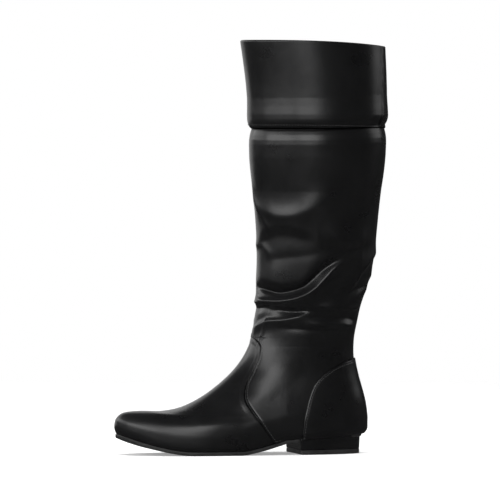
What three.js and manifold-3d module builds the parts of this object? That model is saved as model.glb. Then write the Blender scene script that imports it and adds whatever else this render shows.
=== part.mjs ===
// Knee-high slouch boot for the left foot. One hollow upper of soft leather carries a turned cuff, a heel
// counter and a zip on the inner side of the leg. It stands on a thin sole, a low heel and a top piece.
// Millimetres. +Z is up, the toe points along -X and the outer side of the foot faces -Y.
// The origin is on the floor, at the middle of the heel's tread.
import * as THREE from "three";
import { mergeVertices } from "three/addons/utils/BufferGeometryUtils.js";
import Module from "manifold-3d";

const wasm = await Module();
wasm.setup();

// Overall sizes of the boot
const bootLength = 264; // toe tip to the back of the heel, outside
const bootHeight = 424; // floor to the collar at the front
const ballWidth = 91; // widest across the forefoot, outside
const footHeight = 100; // sole to the bend of the ankle
const collarDepth = 148; // leg at the collar, front to back
const collarWidth = 97; // leg at the collar, side to side
const collarDrop = 6.5; // how much lower the collar is at the back
const toeSwing = 5; // how far the toe tip turns towards the inner side

// Leather and clearances
const wall = 1.8; // upper with its lining
const overlay = 1.3; // a leather piece laid on the upper
const seamStep = 0.9; // how far the quarters stand proud of the vamp
const gap = 0.3; // between pieces that touch

// Sole and heel
const soleThickness = 3.4;
const soleReach = 2.4; // the sole's edge lies this far outside the feather edge
const soleRound = 1.1; // rounded lower edge of the sole
const toeSpring = 18.5; // under the toe tip
const heelHeight = 17.5; // floor to the sole, at the back
const breastHeight = 12.5; // floor to the sole, at the heel's breast
const heelLength = 71; // breast to back, at the tread
const heelSetIn = 6.5; // the upper stands this far behind the heel
const heelTaper = 0.8; // the heel is this much smaller all round at the floor
const breastHollow = 3; // depth of the curved breast
const topPiece = 4.6; // rubber piece under the heel
const treadFront = 0.285; // share of bootLength from the toe where the flat tread starts
const treadBack = 0.475; // and where it ends
const seatLead = 0.2; // share of heelLength by which the heel seat starts ahead of the breast
const insoleThickness = 2.6;

// Slouch folds
const foldDepth = 9; // deepest fold

// Zip on the inner side
const zipTapeWidth = 24;
const zipSlotWidth = 10;
const zipMargin = 2; // leather left between the slot and the counter
const coilWidth = 5.4;
const tapeThickness = 0.9;
const sliderWidth = 8.2;
const sliderLength = 13;
const zipFootEnd = 4.5; // the slot starts this far up the zip's middle line
const zipTopEnd = 3.5; // and ends this far below its top
const sliderBelow = 8; // the slider's middle below the top of the line
const sliderRise = 1.9; // above the leather
const bridgeWidth = 2.4;
const bridgeBar = 1.3; // thickness of the bridge
const pullWidth = 7;
const pullLength = 27;
const pullThickness = 1.3;

// Mesh density
const around = 36; // points in a ring, an even number
const outlineSteps = 120; // samples along one side of a ring before it is spaced out

const heelBackX = heelLength / 2 + heelSetIn;
const toeTipX = heelBackX - bootLength;
const breastX = -heelLength / 2;
const seatHeight = heelHeight + soleThickness;
const ankleHeight = seatHeight + footHeight;
const legHeight = bootHeight - ankleHeight;
const legAxisX = heelBackX - bootLength * 0.21;

const clamp01 = (value) => Math.min(1, Math.max(0, value));
const mix = (a, b, share) => a + (b - a) * share;
const alongFoot = (share) => toeTipX + bootLength * share;

function table(columns, rows) {
  return rows.map((row) => Object.fromEntries(columns.map((name, i) => [name, row[i]])));
}

// Height of the sole's underside at x: toe spring, flat tread, rising waist, sloping heel seat
function soleUnder(x) {
  const front = alongFoot(treadFront);
  const back = alongFoot(treadBack);
  const seat = breastX - heelLength * seatLead;
  const seatLine = (at) => mix(breastHeight, heelHeight, (at - breastX) / heelLength);
  if (x < front) return toeSpring * clamp01((front - x) / (front - toeTipX)) ** 1.7;
  if (x < back) return 0;
  if (x < seat) return seatLine(seat) * ((x - back) / (seat - back)) ** 1.3;
  return seatLine(x);
}

const soleTop = (x) => soleUnder(x) + soleThickness;

// Sections of the foot, from the feather edge to the ankle. Each one runs from a point on the front profile to
// a point on the back profile. front and back are shares of bootLength, frontUp and backUp of footHeight,
// and half is the share of ballWidth. follow says how much of the sole's curve the section keeps.
const footSections = table(
  ["front", "frontUp", "back", "backUp", "follow", "half", "widest", "nose", "tail", "waist"],
  [
    [0.018, 0.003, 0.976, 0.003, 1.0, 0.452, 0.36, 2.1, 3.2, 1.0],
    [0.004, 0.04, 0.994, 0.04, 1.0, 0.49, 0.36, 2.1, 3.2, 0.95],
    [0.0, 0.098, 1.0, 0.1, 1.0, 0.5, 0.36, 2.1, 3.2, 0.85],
    [0.009, 0.178, 1.0, 0.17, 0.95, 0.497, 0.36, 2.1, 3.2, 0.7],
    [0.04, 0.263, 0.997, 0.241, 0.88, 0.483, 0.36, 2.1, 3.3, 0.5],
    [0.105, 0.322, 0.993, 0.306, 0.78, 0.452, 0.37, 2.3, 3.6, 0.3],
    [0.184, 0.346, 0.988, 0.366, 0.68, 0.43, 0.39, 2.6, 3.6, 0.15],
    [0.252, 0.376, 0.982, 0.426, 0.58, 0.414, 0.42, 2.8, 3.4, 0.05],
    [0.312, 0.426, 0.975, 0.491, 0.48, 0.401, 0.46, 2.8, 3.1, 0],
    [0.369, 0.499, 0.967, 0.561, 0.38, 0.39, 0.5, 2.7, 2.85, 0],
    [0.422, 0.589, 0.96, 0.636, 0.28, 0.382, 0.52, 2.6, 2.6, 0],
    [0.468, 0.686, 0.953, 0.721, 0.18, 0.381, 0.53, 2.4, 2.4, 0],
    [0.503, 0.785, 0.949, 0.811, 0.08, 0.386, 0.53, 2.3, 2.3, 0],
    [0.528, 0.892, 0.949, 0.906, 0, 0.394, 0.52, 2.2, 2.2, 0],
  ],
);

// Sections of the leg, from the ankle to the collar. up is the share of legHeight, front and back are shares of
// collarDepth from the leg's axis, half is the share of collarWidth, and rings divide the way to the next one.
const legSections = table(
  ["up", "front", "back", "half", "widest", "round", "rings"],
  [
    [0.004, -0.4385, 0.29, 0.377, 0.51, 2.15, 2],
    [0.046, -0.419, 0.3075, 0.39, 0.5, 2.1, 2],
    [0.096, -0.407, 0.33, 0.406, 0.5, 2.1, 2],
    [0.145, -0.404, 0.361, 0.426, 0.5, 2.1, 2],
    [0.195, -0.4035, 0.3945, 0.445, 0.5, 2.1, 3],
    [0.261, -0.398, 0.425, 0.468, 0.5, 2.1, 3],
    [0.344, -0.401, 0.445, 0.487, 0.5, 2.1, 3],
    [0.442, -0.4147, 0.4653, 0.5, 0.5, 2.1, 2],
    [0.574, -0.438, 0.4956, 0.508, 0.5, 2.1, 3],
    [0.706, -0.442, 0.503, 0.51, 0.5, 2.1, 2],
    [0.855, -0.464, 0.506, 0.508, 0.49, 2.05, 2],
    [1.0, -0.504, 0.4956, 0.5, 0.48, 2.0, 1],
  ],
);

// Slouch folds. Each one is a soft line round the leg, from one angle to another, in turns from the front by
// way of the outer side. start and end are its heights and sag the drop between them, all shares of legHeight.
// half is its half width, the share of legHeight, and depth the share of foldDepth: below 0 it is a trough.
const folds = table(
  ["from", "to", "start", "end", "sag", "half", "depth"],
  [
    [0.02, 0.35, 0.19, 0.34, 0.095, 0.03, -0.5],
    [0.01, 0.34, 0.152, 0.3, 0.09, 0.024, 0.42],
    [-0.1, 0.17, 0.108, 0.085, 0.004, 0.024, -0.5],
    [0.08, 0.42, 0.075, 0.06, 0.002, 0.026, -0.5],
    [-0.12, 0.22, 0.05, 0.066, 0.012, 0.018, 0.3],
    [0.22, 0.58, 0.12, 0.22, 0.034, 0.026, 0.34],
    [0.3, 0.6, 0.12, 0.13, -0.05, 0.022, -0.45],
    [0.33, 0.6, 0.17, 0.19, -0.045, 0.03, 0.3],
    [-0.16, 0.14, 0.3, 0.36, 0.03, 0.026, -0.3],
    [0.14, 0.46, 0.375, 0.29, 0.02, 0.035, -0.3],
    [-0.16, 0.1, 0.235, 0.225, 0.01, 0.03, 0.2],
    [0.8, 1.06, 0.09, 0.12, 0.01, 0.028, -0.4],
    [0.8, 1.04, 0.2, 0.19, 0.02, 0.028, -0.32],
    [0.5, 0.63, 0.07, 0.09, 0.0, 0.026, -0.34],
    [0.5, 0.63, 0.24, 0.225, 0.01, 0.03, -0.3],
  ],
);

// The cuff's lower edge, and the shallow valley that its seam pulls into the leg there
const cuffUp = 0.7; // share of legHeight
const cuffValley = 1.8;
const cuffValleyHalf = 0.028; // share of legHeight

// Foot and leg sections as real places, all with the same columns
const footPlaces = footSections.map((s) => {
  const frontX = alongFoot(s.front);
  const backX = alongFoot(s.back);
  const base = (x) => mix(seatHeight, soleTop(x), s.follow);
  return {
    frontX,
    frontZ: base(frontX) + s.frontUp * footHeight,
    backX,
    backZ: base(backX) + s.backUp * footHeight,
    follow: s.follow,
    half: s.half * ballWidth,
    widest: s.widest,
    nose: s.nose,
    tail: s.tail,
    waist: s.waist,
    drop: 0,
  };
});
const legPlaces = legSections.map((s) => ({
  frontX: legAxisX + s.front * collarDepth,
  frontZ: ankleHeight + s.up * legHeight,
  backX: legAxisX + s.back * collarDepth,
  backZ: ankleHeight + s.up * legHeight,
  follow: 0,
  half: s.half * collarWidth,
  widest: s.widest,
  nose: s.round,
  tail: s.round,
  waist: 0,
  drop: collarDrop * s.up ** 3,
}));
const places = [...footPlaces, ...legPlaces];
const ringLevels = [
  ...footPlaces.map((_, i) => i),
  ...legSections.flatMap((s, i) =>
    Array.from({ length: s.rings }, (_, j) => footPlaces.length + i + j / s.rings),
  ),
];

// A place between two rows of the table, on a smooth curve through the rows
function placeAt(level) {
  const i = Math.min(Math.floor(level), places.length - 1);
  const t = level - i;
  const row = (k) => places[Math.min(Math.max(k, 0), places.length - 1)];
  const smooth = (name) => {
    const [a, b, c, d] = [row(i - 1)[name], row(i)[name], row(i + 1)[name], row(i + 2)[name]];
    return b + 0.5 * t * (c - a + t * (2 * a - 5 * b + 4 * c - d + t * (3 * (b - c) + d - a)));
  };
  return Object.fromEntries(Object.keys(places[0]).map((name) => [name, smooth(name)]));
}

const bump = (value, centre, half) => Math.exp(-(((value - centre) / half) ** 2));

// What sets the two sides of the foot apart: the inner side's ball lies further forward and its waist is
// hollower, and the outer side is a little fuller. Places are shares of the section's length.
const outerSide = { ballBack: 0.01, hollow: 0.07, fullness: 1.03 };
const innerSide = { ballBack: -0.04, hollow: 0.2, fullness: 0.97 };
const waistAt = 0.63;
const waistHalf = 0.15;

// Half width at a share of the way from front to back
function halfWidthAt(place, share, isInner) {
  const side = isInner ? innerSide : outerSide;
  const footLike = Math.sqrt(clamp01(place.follow));
  const widest = place.widest + side.ballBack * footLike;
  const nose = clamp01((widest - share) / widest) ** place.nose;
  const tail = clamp01((share - widest) / (1 - widest)) ** place.tail;
  const waist = place.waist * side.hollow * bump(share, waistAt, waistHalf);
  const half = place.half * mix(1, side.fullness, footLike) * (1 - waist);
  return half * Math.sqrt(Math.max(0, 1 - nose - tail));
}

// The toe's turn towards the inner side, from the ball forwards
const ballX = alongFoot(0.42);
const centreY = (x) => toeSwing * clamp01((ballX - x) / (ballX - toeTipX)) ** 2;

// Height of the slouch folds at an angle, in turns from the front by the outer side, and a height
function foldAt(turn, z) {
  const up = (z - ankleHeight) / legHeight;
  let sum = -cuffValley * bump(up, cuffUp, cuffValleyHalf);
  for (const fold of folds) {
    for (const lap of [-1, 0, 1]) {
      const share = (turn + lap - fold.from) / (fold.to - fold.from);
      if (share <= 0 || share >= 1) continue;
      const line = mix(fold.start, fold.end, share) - fold.sag * 4 * share * (1 - share);
      const fade = Math.sin(Math.PI * share) ** 0.8;
      sum += fold.depth * foldDepth * fade * bump(up, line, fold.half);
    }
  }
  return sum;
}

// One side of a section as points, from front to back
function sidePoints(place, isInner) {
  const points = [];
  for (let i = 0; i <= outlineSteps; i++) {
    const share = (1 - Math.cos((Math.PI * i) / outlineSteps)) / 2;
    const x = mix(place.frontX, place.backX, share);
    const line = mix(place.frontZ, place.backZ, share);
    const baseLine = mix(soleTop(place.frontX), soleTop(place.backX), share);
    const z = line + place.follow * (soleTop(x) - baseLine) - place.drop * share ** 2.5;
    const y = centreY(x) + (isInner ? 1 : -1) * halfWidthAt(place, share, isInner);
    const halfTurn = Math.acos(1 - 2 * share) / (2 * Math.PI);
    points.push({ x, y, z, turn: isInner ? 1 - halfTurn : halfTurn });
  }
  return points;
}

// The same side as count + 1 points spaced along its length, closer together at front and back
function spaced(points, count, gather) {
  const lengths = [0];
  for (let i = 1; i < points.length; i++) {
    const [a, b] = [points[i - 1], points[i]];
    lengths.push(lengths[i - 1] + Math.hypot(b.x - a.x, b.y - a.y, b.z - a.z));
  }
  const total = lengths[lengths.length - 1];
  return Array.from({ length: count + 1 }, (_, k) => {
    const u = k / count;
    const wanted = total * (u - (gather * Math.sin(2 * Math.PI * u)) / (2 * Math.PI));
    let i = 1;
    while (i < points.length - 1 && lengths[i] < wanted) i++;
    const t = (wanted - lengths[i - 1]) / (lengths[i] - lengths[i - 1]);
    const between = (name) => mix(points[i - 1][name], points[i][name], t);
    return { x: between("x"), y: between("y"), z: between("z"), turn: between("turn") };
  });
}

function ringAt(level) {
  const place = placeAt(level);
  const depth = Math.hypot(place.backX - place.frontX, place.backZ - place.frontZ);
  const gather = 0.55 * clamp01(1 - (2 * place.half) / depth);
  const outer = spaced(sidePoints(place, false), around / 2, gather);
  const inner = spaced(sidePoints(place, true), around / 2, gather);
  return [...outer, ...inner.slice(1, -1).reverse()];
}

// Outside surface as a grid of points and normals. A ring's points go from the front by the outer side.
const smoothRings = ringLevels.map(ringAt);
function normalsOf(rings) {
  return rings.map((ring, i) => {
    const below = rings[Math.max(i - 1, 0)];
    const above = rings[Math.min(i + 1, rings.length - 1)];
    return ring.map((_, k) => {
      const before = ring[(k + around - 1) % around];
      const after = ring[(k + 1) % around];
      const turnwise = new THREE.Vector3(after.x - before.x, after.y - before.y, after.z - before.z);
      const up = new THREE.Vector3(
        above[k].x - below[k].x,
        above[k].y - below[k].y,
        above[k].z - below[k].z,
      );
      const normal = turnwise.cross(up);
      if (i === 0 || i === rings.length - 1) normal.z = 0;
      return normal.normalize();
    });
  });
}
const smoothNormals = normalsOf(smoothRings);
const rings = smoothRings.map((ring, i) =>
  ring.map((p, k) => {
    const rise = foldAt(p.turn, p.z);
    const n = smoothNormals[i][k];
    return { x: p.x + n.x * rise, y: p.y + n.y * rise, z: p.z + n.z * rise };
  }),
);
const normals = normalsOf(rings);

// A whole ring of the upper's surface, moved out by offset and up by lift
function offsetRing(i, offset, lift = 0) {
  return rings[i].map((p, k) => {
    const n = normals[i][k];
    return new THREE.Vector3(p.x + n.x * offset, p.y + n.y * offset, p.z + n.z * offset + lift);
  });
}

// Rings joined one after another, and the last to the first or each end closed by strips across. Rows that
// fall are split along the same diagonals as rows that rise, so that two skins lie parallel.
function ringGeometry(stack, closed) {
  const count = stack[0].length;
  const positions = stack.flatMap((ring) => ring.flatMap((p) => [p.x, p.y, p.z]));
  const index = [];
  const at = (i, k) => (i % stack.length) * count + ((k + count) % count);
  for (let i = 0; i < stack.length - (closed ? 0 : 1); i++) {
    const falls = stack[(i + 1) % stack.length][0].z < stack[i][0].z;
    for (let k = 0; k < count; k++) {
      const [a, b, c, d] = [at(i, k), at(i, k + 1), at(i + 1, k + 1), at(i + 1, k)];
      index.push(...(falls ? [a, b, d, b, c, d] : [a, b, c, a, c, d]));
    }
  }
  if (!closed) {
    const last = stack.length - 1;
    const half = count / 2;
    for (let k = 0; k < half; k++) {
      const strip = (i, a, b, c) => (i ? index.push(at(i, a), at(i, b), at(i, c)) : index.push(c, b, a));
      for (const i of [0, last]) {
        if (k > 0) strip(i, k, k + 1, count - k);
        if (k < half - 1) strip(i, k + 1, count - k - 1, k > 0 ? count - k : 0);
      }
    }
  }
  const geometry = new THREE.BufferGeometry();
  geometry.setAttribute("position", new THREE.Float32BufferAttribute(positions, 3));
  geometry.setIndex(index);
  return geometry;
}

function toSolid(geometry) {
  const bare = geometry.clone();
  bare.deleteAttribute("normal");
  bare.deleteAttribute("uv");
  const merged = mergeVertices(bare, 1e-4);
  return new wasm.Manifold(
    new wasm.Mesh({
      numProp: 3,
      vertProperties: new Float32Array(merged.attributes.position.array),
      triVerts: new Uint32Array(merged.index.array),
    }),
  );
}

function toGeometry(solid) {
  const mesh = solid.getMesh();
  const geometry = new THREE.BufferGeometry();
  const positions = new Float32Array(mesh.numVert * 3);
  for (let i = 0; i < mesh.numVert; i++) {
    positions.set(mesh.vertProperties.subarray(i * mesh.numProp, i * mesh.numProp + 3), i * 3);
  }
  geometry.setAttribute("position", new THREE.BufferAttribute(positions, 3));
  geometry.setIndex(new THREE.BufferAttribute(new Uint32Array(mesh.triVerts), 1));
  return geometry;
}

// A skin between two offsets of the upper's surface, from the feather edge up to a ring. A cutter goes on
// below the feather edge.
function skin(inside, outside, last = rings.length - 1, below = 0) {
  const numbers = Array.from({ length: last + 1 }, (_, i) => i);
  const rows = (offset) => numbers.map((i) => offsetRing(i, offset));
  const hem = (offset) => (below ? [offsetRing(0, offset, -below)] : []);
  const out = [...hem(outside), ...rows(outside)];
  const back = [...hem(inside), ...rows(inside)].reverse();
  return toSolid(ringGeometry([...out, ...back], true));
}

// A slab with a side view outline, over the outer or the inner side of the boot and just past its middle
const reach = ballWidth;
const pastMiddle = 0.2;
function sideSlab(shape, side) {
  const geometry = new THREE.ExtrudeGeometry(shape, {
    depth: reach + pastMiddle,
    bevelEnabled: false,
    curveSegments: 2,
  });
  geometry.rotateX(Math.PI / 2);
  geometry.translate(0, side === "outer" ? pastMiddle : reach, 0);
  return toSolid(geometry);
}

function shapeThrough(curvePoints, corners) {
  const shape = new THREE.Shape();
  shape.moveTo(curvePoints[0].x, curvePoints[0].y);
  shape.splineThru(curvePoints.slice(1));
  for (const corner of corners) shape.lineTo(corner.x, corner.y);
  shape.closePath();
  return shape;
}

// Side view places: along is a share of bootLength from the toe, up one of footHeight from the heel seat
const sidePlace = (row) => new THREE.Vector2(alongFoot(row.along), seatHeight + row.up * footHeight);

// The seam between vamp and quarter, from the front of the ankle to the feather edge
const outerVampSeam = table(
  ["along", "up"],
  [
    [0.515, 0.985],
    [0.539, 0.975],
    [0.564, 0.905],
    [0.559, 0.8],
    [0.531, 0.64],
    [0.502, 0.5],
    [0.49, 0.38],
    [0.497, 0.285],
    [0.526, 0.165],
    [0.566, 0.0],
    [0.61, -0.16],
  ],
);
const innerVampSeam = table(
  ["along", "up"],
  [
    [0.515, 0.985],
    [0.545, 0.975],
    [0.58, 0.91],
    [0.59, 0.8],
    [0.576, 0.66],
    [0.56, 0.52],
    [0.552, 0.4],
    [0.562, 0.28],
    [0.59, 0.17],
    [0.63, 0.07],
    [0.668, -0.16],
  ],
);

function vampShape(seam) {
  const outside = bootLength * 0.1;
  const last = sidePlace(seam[seam.length - 1]);
  const first = sidePlace(seam[0]);
  return shapeThrough(seam.map(sidePlace), [
    new THREE.Vector2(last.x, -outside),
    new THREE.Vector2(toeTipX - outside, -outside),
    new THREE.Vector2(toeTipX - outside, first.y),
  ]);
}

// The counter's upper edge, from the back of the heel forwards and down
const outerCounterEdge = table(
  ["along", "up"],
  [
    [1.0, 0.75],
    [0.94, 0.735],
    [0.883, 0.685],
    [0.834, 0.615],
    [0.791, 0.525],
    [0.76, 0.425],
    [0.743, 0.3],
    [0.729, 0.13],
    [0.716, -0.02],
    [0.707, -0.16],
  ],
);

const innerCounterEdge = table(
  ["along", "up"],
  [
    [1.0, 0.75],
    [0.93, 0.72],
    [0.84, 0.66],
    [0.76, 0.59],
    [0.725, 0.42],
    [0.714, 0.2],
    [0.714, -0.16],
  ],
);

function counterShape(edge) {
  const outside = bootLength * 0.1;
  const [highest, lowest] = [sidePlace(edge[0]), sidePlace(edge[edge.length - 1])];
  const corners = [
    new THREE.Vector2(lowest.x, -outside),
    new THREE.Vector2(heelBackX + outside, -outside),
    new THREE.Vector2(heelBackX + outside, highest.y),
  ];
  return shapeThrough(edge.map(sidePlace), corners);
}

// Middle line of the zip in side view. The lower rows lie on the foot, the upper ones on the leg.
const zipFoot = table(
  ["along", "up"],
  [
    [0.686, 0.1],
    [0.7, 0.165],
    [0.735, 0.33],
    [0.769, 0.545],
    [0.8, 0.775],
  ],
);
const zipLeg = table(
  ["along", "up"],
  [
    [0.823, 0.015],
    [0.842, 0.14],
    [0.852, 0.25],
    [0.858, 0.372],
  ],
);
const zipPoints = [
  ...zipFoot.map(sidePlace),
  ...zipLeg.map((row) => new THREE.Vector2(alongFoot(row.along), ankleHeight + row.up * legHeight)),
];
const zipCurve = new THREE.SplineCurve(zipPoints);
const zipLength = zipCurve.getLength();
const slotEnds = [zipFootEnd / zipLength, 1 - zipTopEnd / zipLength]; // before the round ends
const sliderAt = 1 - sliderBelow / zipLength;

// A band of the side view along the zip's middle line, with round ends
function zipBand(from, to, left, right) {
  const steps = 12;
  const samples = Array.from({ length: steps + 1 }, (_, i) => mix(from, to, i / steps));
  const moved = (share, distance) => {
    const p = zipCurve.getPointAt(share);
    const t = zipCurve.getTangentAt(share);
    return new THREE.Vector2(p.x + t.y * distance, p.y - t.x * distance);
  };
  const shape = new THREE.Shape();
  samples.forEach((share, i) => {
    const p = moved(share, right);
    if (i) shape.lineTo(p.x, p.y);
    else shape.moveTo(p.x, p.y);
  });
  const roundEnd = (share, direction) => {
    const middle = moved(share, (left + right) / 2);
    const t = zipCurve.getTangentAt(share).multiplyScalar(direction);
    const radius = (right - left) / 2;
    for (let i = 1; i < 4; i++) {
      const angle = (Math.PI * i) / 4;
      const out = Math.sin(angle) * radius;
      const across = Math.cos(angle) * radius * direction;
      const x = middle.x + t.x * out + t.y * across * direction;
      shape.lineTo(x, middle.y + t.y * out - t.x * across * direction);
    }
  };
  roundEnd(to, 1);
  samples.reverse().forEach((share) => {
    const p = moved(share, left);
    shape.lineTo(p.x, p.y);
  });
  roundEnd(from, -1);
  shape.closePath();
  return shape;
}

// Upper: a hollow wall, stepped down where the vamp lies under the quarters, and open along the zip
function makeUpper() {
  const wholeWall = skin(-wall, 0);
  const vampLast = footPlaces.length + 2;
  const shaved = skin(-seamStep, overlay, vampLast, soleThickness);
  const vampOuter = shaved.intersect(sideSlab(vampShape(outerVampSeam), "outer"));
  const vampInner = shaved.intersect(sideSlab(vampShape(innerVampSeam), "inner"));
  const slot = sideSlab(zipBand(...slotEnds, -zipSlotWidth / 2, zipSlotWidth / 2), "inner");
  return wholeWall.subtract(vampOuter.add(vampInner)).subtract(slot);
}

// Heel counter: laid on the upper behind the heel's breast. On the inner side it stops short of the zip.
function makeCounter() {
  const laid = skin(gap, gap + overlay, footPlaces.length);
  const outer = laid.intersect(sideSlab(counterShape(outerCounterEdge), "outer"));
  const inner = laid.intersect(sideSlab(counterShape(innerCounterEdge), "inner"));
  const besideZip = zipBand(0, 1, -2 * zipTapeWidth, zipSlotWidth / 2 + zipMargin);
  return outer.add(inner.subtract(sideSlab(besideZip, "inner")));
}

// Cuff: a turned band round the top of the leg, folded over the collar and down inside it
function makeCuff() {
  const hem = 0.9; // extra thickness of the rolled lower hem
  const turnIn = 2; // rings that the fold reaches down inside
  const top = rings.length - 1;
  const first = rings.findIndex((ring) => ring[Math.round(around / 4)].z > ankleHeight + cuffUp * legHeight);
  const outside = Array.from({ length: top - first + 1 }, (_, i) => first + i);
  const inside = Array.from({ length: turnIn }, (_, i) => top - i);
  return toSolid(
    ringGeometry(
      [
        offsetRing(first, gap + overlay * 0.5, -hem),
        offsetRing(first, gap + overlay + hem * 0.6),
        ...outside.slice(1, -1).map((i) => offsetRing(i, gap + overlay)),
        offsetRing(top, gap + overlay * 0.9, gap),
        offsetRing(top, gap * 0.5, gap + overlay),
        offsetRing(top, -wall - gap * 0.5, gap + overlay),
        offsetRing(top, -wall - gap - overlay * 0.9, gap),
        ...inside.slice(1).map((i) => offsetRing(i, -wall - gap - overlay)),
        ...inside.slice(1).reverse().map((i) => offsetRing(i, -wall - gap)),
        offsetRing(top, -wall - gap, gap),
        offsetRing(top, gap, gap),
        ...outside.slice(1, -1).reverse().map((i) => offsetRing(i, gap)),
        offsetRing(first, gap),
      ],
      true,
    ),
  );
}

// The feather edge's plan outline, grown or shrunk, at a height that follows x
const featherEdge = rings[0];
function planRing(grow, heightAt) {
  return featherEdge.map((p, k) => {
    const before = featherEdge[(k + around - 1) % around];
    const after = featherEdge[(k + 1) % around];
    const away = new THREE.Vector2(after.y - before.y, before.x - after.x).normalize();
    const x = p.x + away.x * grow;
    return new THREE.Vector3(x, p.y + away.y * grow, heightAt(x));
  });
}

function makeOutsole() {
  const stack = [
    planRing(soleReach - soleRound, soleUnder),
    planRing(soleReach, (x) => soleUnder(x) + soleRound),
    planRing(soleReach, soleTop),
  ];
  return toSolid(ringGeometry(stack, false));
}

function makeInsole() {
  const lowest = (x) => soleTop(x) + gap;
  const stack = [
    planRing(-wall - 2 * gap, lowest),
    planRing(-wall - 2 * gap, (x) => lowest(x) + insoleThickness),
  ];
  return toSolid(ringGeometry(stack, false));
}

// Plan outline of the heel: the sole's own outline behind the breast, set in at the back
function heelOutline() {
  const behind = planRing(soleReach - soleRound, () => 0).filter((p) => p.x > breastX + breastHollow);
  const backX = Math.max(...behind.map((p) => p.x));
  const squeeze = (heelLength / 2 - breastX) / (backX - breastX);
  const start = behind.reduce((best, p, i) => (p.y < 0 && p.x < behind[best].x ? i : best), 0);
  const round = [...behind.slice(start), ...behind.slice(0, start)];
  const outer = round.map((p) => new THREE.Vector2(breastX + (p.x - breastX) * squeeze, p.y));
  return outer;
}

// The heel's outline closed by its hollow breast, pulled in by an amount
function heelShape(inset) {
  const outline = heelOutline();
  const scale = 1 - (2 * inset) / ballWidth;
  const [a, b] = [outline[0], outline[outline.length - 1]];
  const shape = new THREE.Shape();
  shape.moveTo(breastX + inset, a.y * scale);
  for (const p of outline) shape.lineTo(p.x > 0 ? p.x - inset * (p.x / (heelLength / 2)) : p.x, p.y * scale);
  shape.lineTo(breastX + inset, b.y * scale);
  shape.quadraticCurveTo(breastX + inset + 2 * breastHollow, (a.y + b.y) / 2, breastX + inset, a.y * scale);
  return shape;
}

function upright(shape, low, high) {
  const geometry = new THREE.ExtrudeGeometry(shape, {
    depth: high - low,
    bevelEnabled: false,
    curveSegments: 8,
  });
  geometry.translate(0, 0, low);
  return geometry;
}

function makeHeel() {
  const geometry = upright(heelShape(0), topPiece + gap, heelHeight + soleThickness);
  const place = geometry.attributes.position;
  const middle = topPiece + gap;
  for (let i = 0; i < place.count; i++) {
    const [x, y, z] = [place.getX(i), place.getY(i), place.getZ(i)];
    const drawn = z > middle + 1 ? 0 : heelTaper / (heelLength / 2);
    place.setXYZ(i, x * (1 - drawn), y * (1 - drawn), z > middle + 1 ? soleUnder(x) - gap : z);
  }
  return toSolid(geometry);
}

function makeTopPiece() {
  return toSolid(upright(heelShape(heelTaper), 0, topPiece));
}

// Zip tapes lie behind the wall, and the closed coil stands in the slot between them
const zipTop = zipPoints[zipPoints.length - 1].y + zipTapeWidth;
const zipRing = rings.findIndex((ring) => ring[0].z > zipTop);

function makeZipTape(side) {
  const tape = skin(-wall - gap - tapeThickness, -wall - gap, zipRing);
  const [left, right] = side === "front" ? [-zipTapeWidth / 2, -gap / 2] : [gap / 2, zipTapeWidth / 2];
  return tape.intersect(sideSlab(zipBand(0, slotEnds[1], left, right), "inner"));
}

function makeCoil() {
  const bar = skin(-wall + gap / 2, -gap, zipRing);
  const end = sliderAt - (sliderLength / 2 + coilWidth / 2 + 3 * gap) / zipLength;
  return bar.intersect(sideSlab(zipBand(slotEnds[0], end, -coilWidth / 2, coilWidth / 2), "inner"));
}

// Where the zip's middle line meets the inner side of the leg, found on the surface itself
function onInnerSide(share, across = 0) {
  const p = zipCurve.getPointAt(share);
  const t = zipCurve.getTangentAt(share);
  const at = new THREE.Vector3(p.x + t.y * across, -1, p.y - t.x * across);
  const surface = new THREE.Mesh(
    ringGeometry([rings[0].map((q) => new THREE.Vector3(q.x, q.y, q.z)), ...rings.slice(1)], false),
    new THREE.MeshBasicMaterial({ side: THREE.DoubleSide }),
  );
  const ray = new THREE.Raycaster(at.clone().setY(2 * reach), new THREE.Vector3(0, -1, 0));
  return ray.intersectObject(surface)[0].point;
}

// The slider's own axes: across the zip, up along it and away from the leather
function sliderFrame() {
  const middle = onInnerSide(sliderAt);
  const step = sliderWidth / zipLength;
  const up = onInnerSide(sliderAt + step / 2).sub(onInnerSide(sliderAt - step));
  up.normalize();
  const across = onInnerSide(sliderAt, -4).sub(onInnerSide(sliderAt, 4)).normalize();
  const out = new THREE.Vector3().crossVectors(up, across).normalize();
  if (out.y < 0) out.negate();
  const side = new THREE.Vector3().crossVectors(up, out).normalize();
  return { middle, matrix: new THREE.Matrix4().makeBasis(side, up, out).setPosition(middle) };
}

const bridgeHole = pullThickness * Math.SQRT2 + 2 * gap; // lets the pull's square bar turn
const pivotOut = sliderRise + bridgeHole / 2; // the pull's axis, away from the leather
const bridgeInner = 2.3; // half length of the bridge's opening
const pullPlay = 0.5; // between the pull's hole and the bridge, at each side

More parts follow.
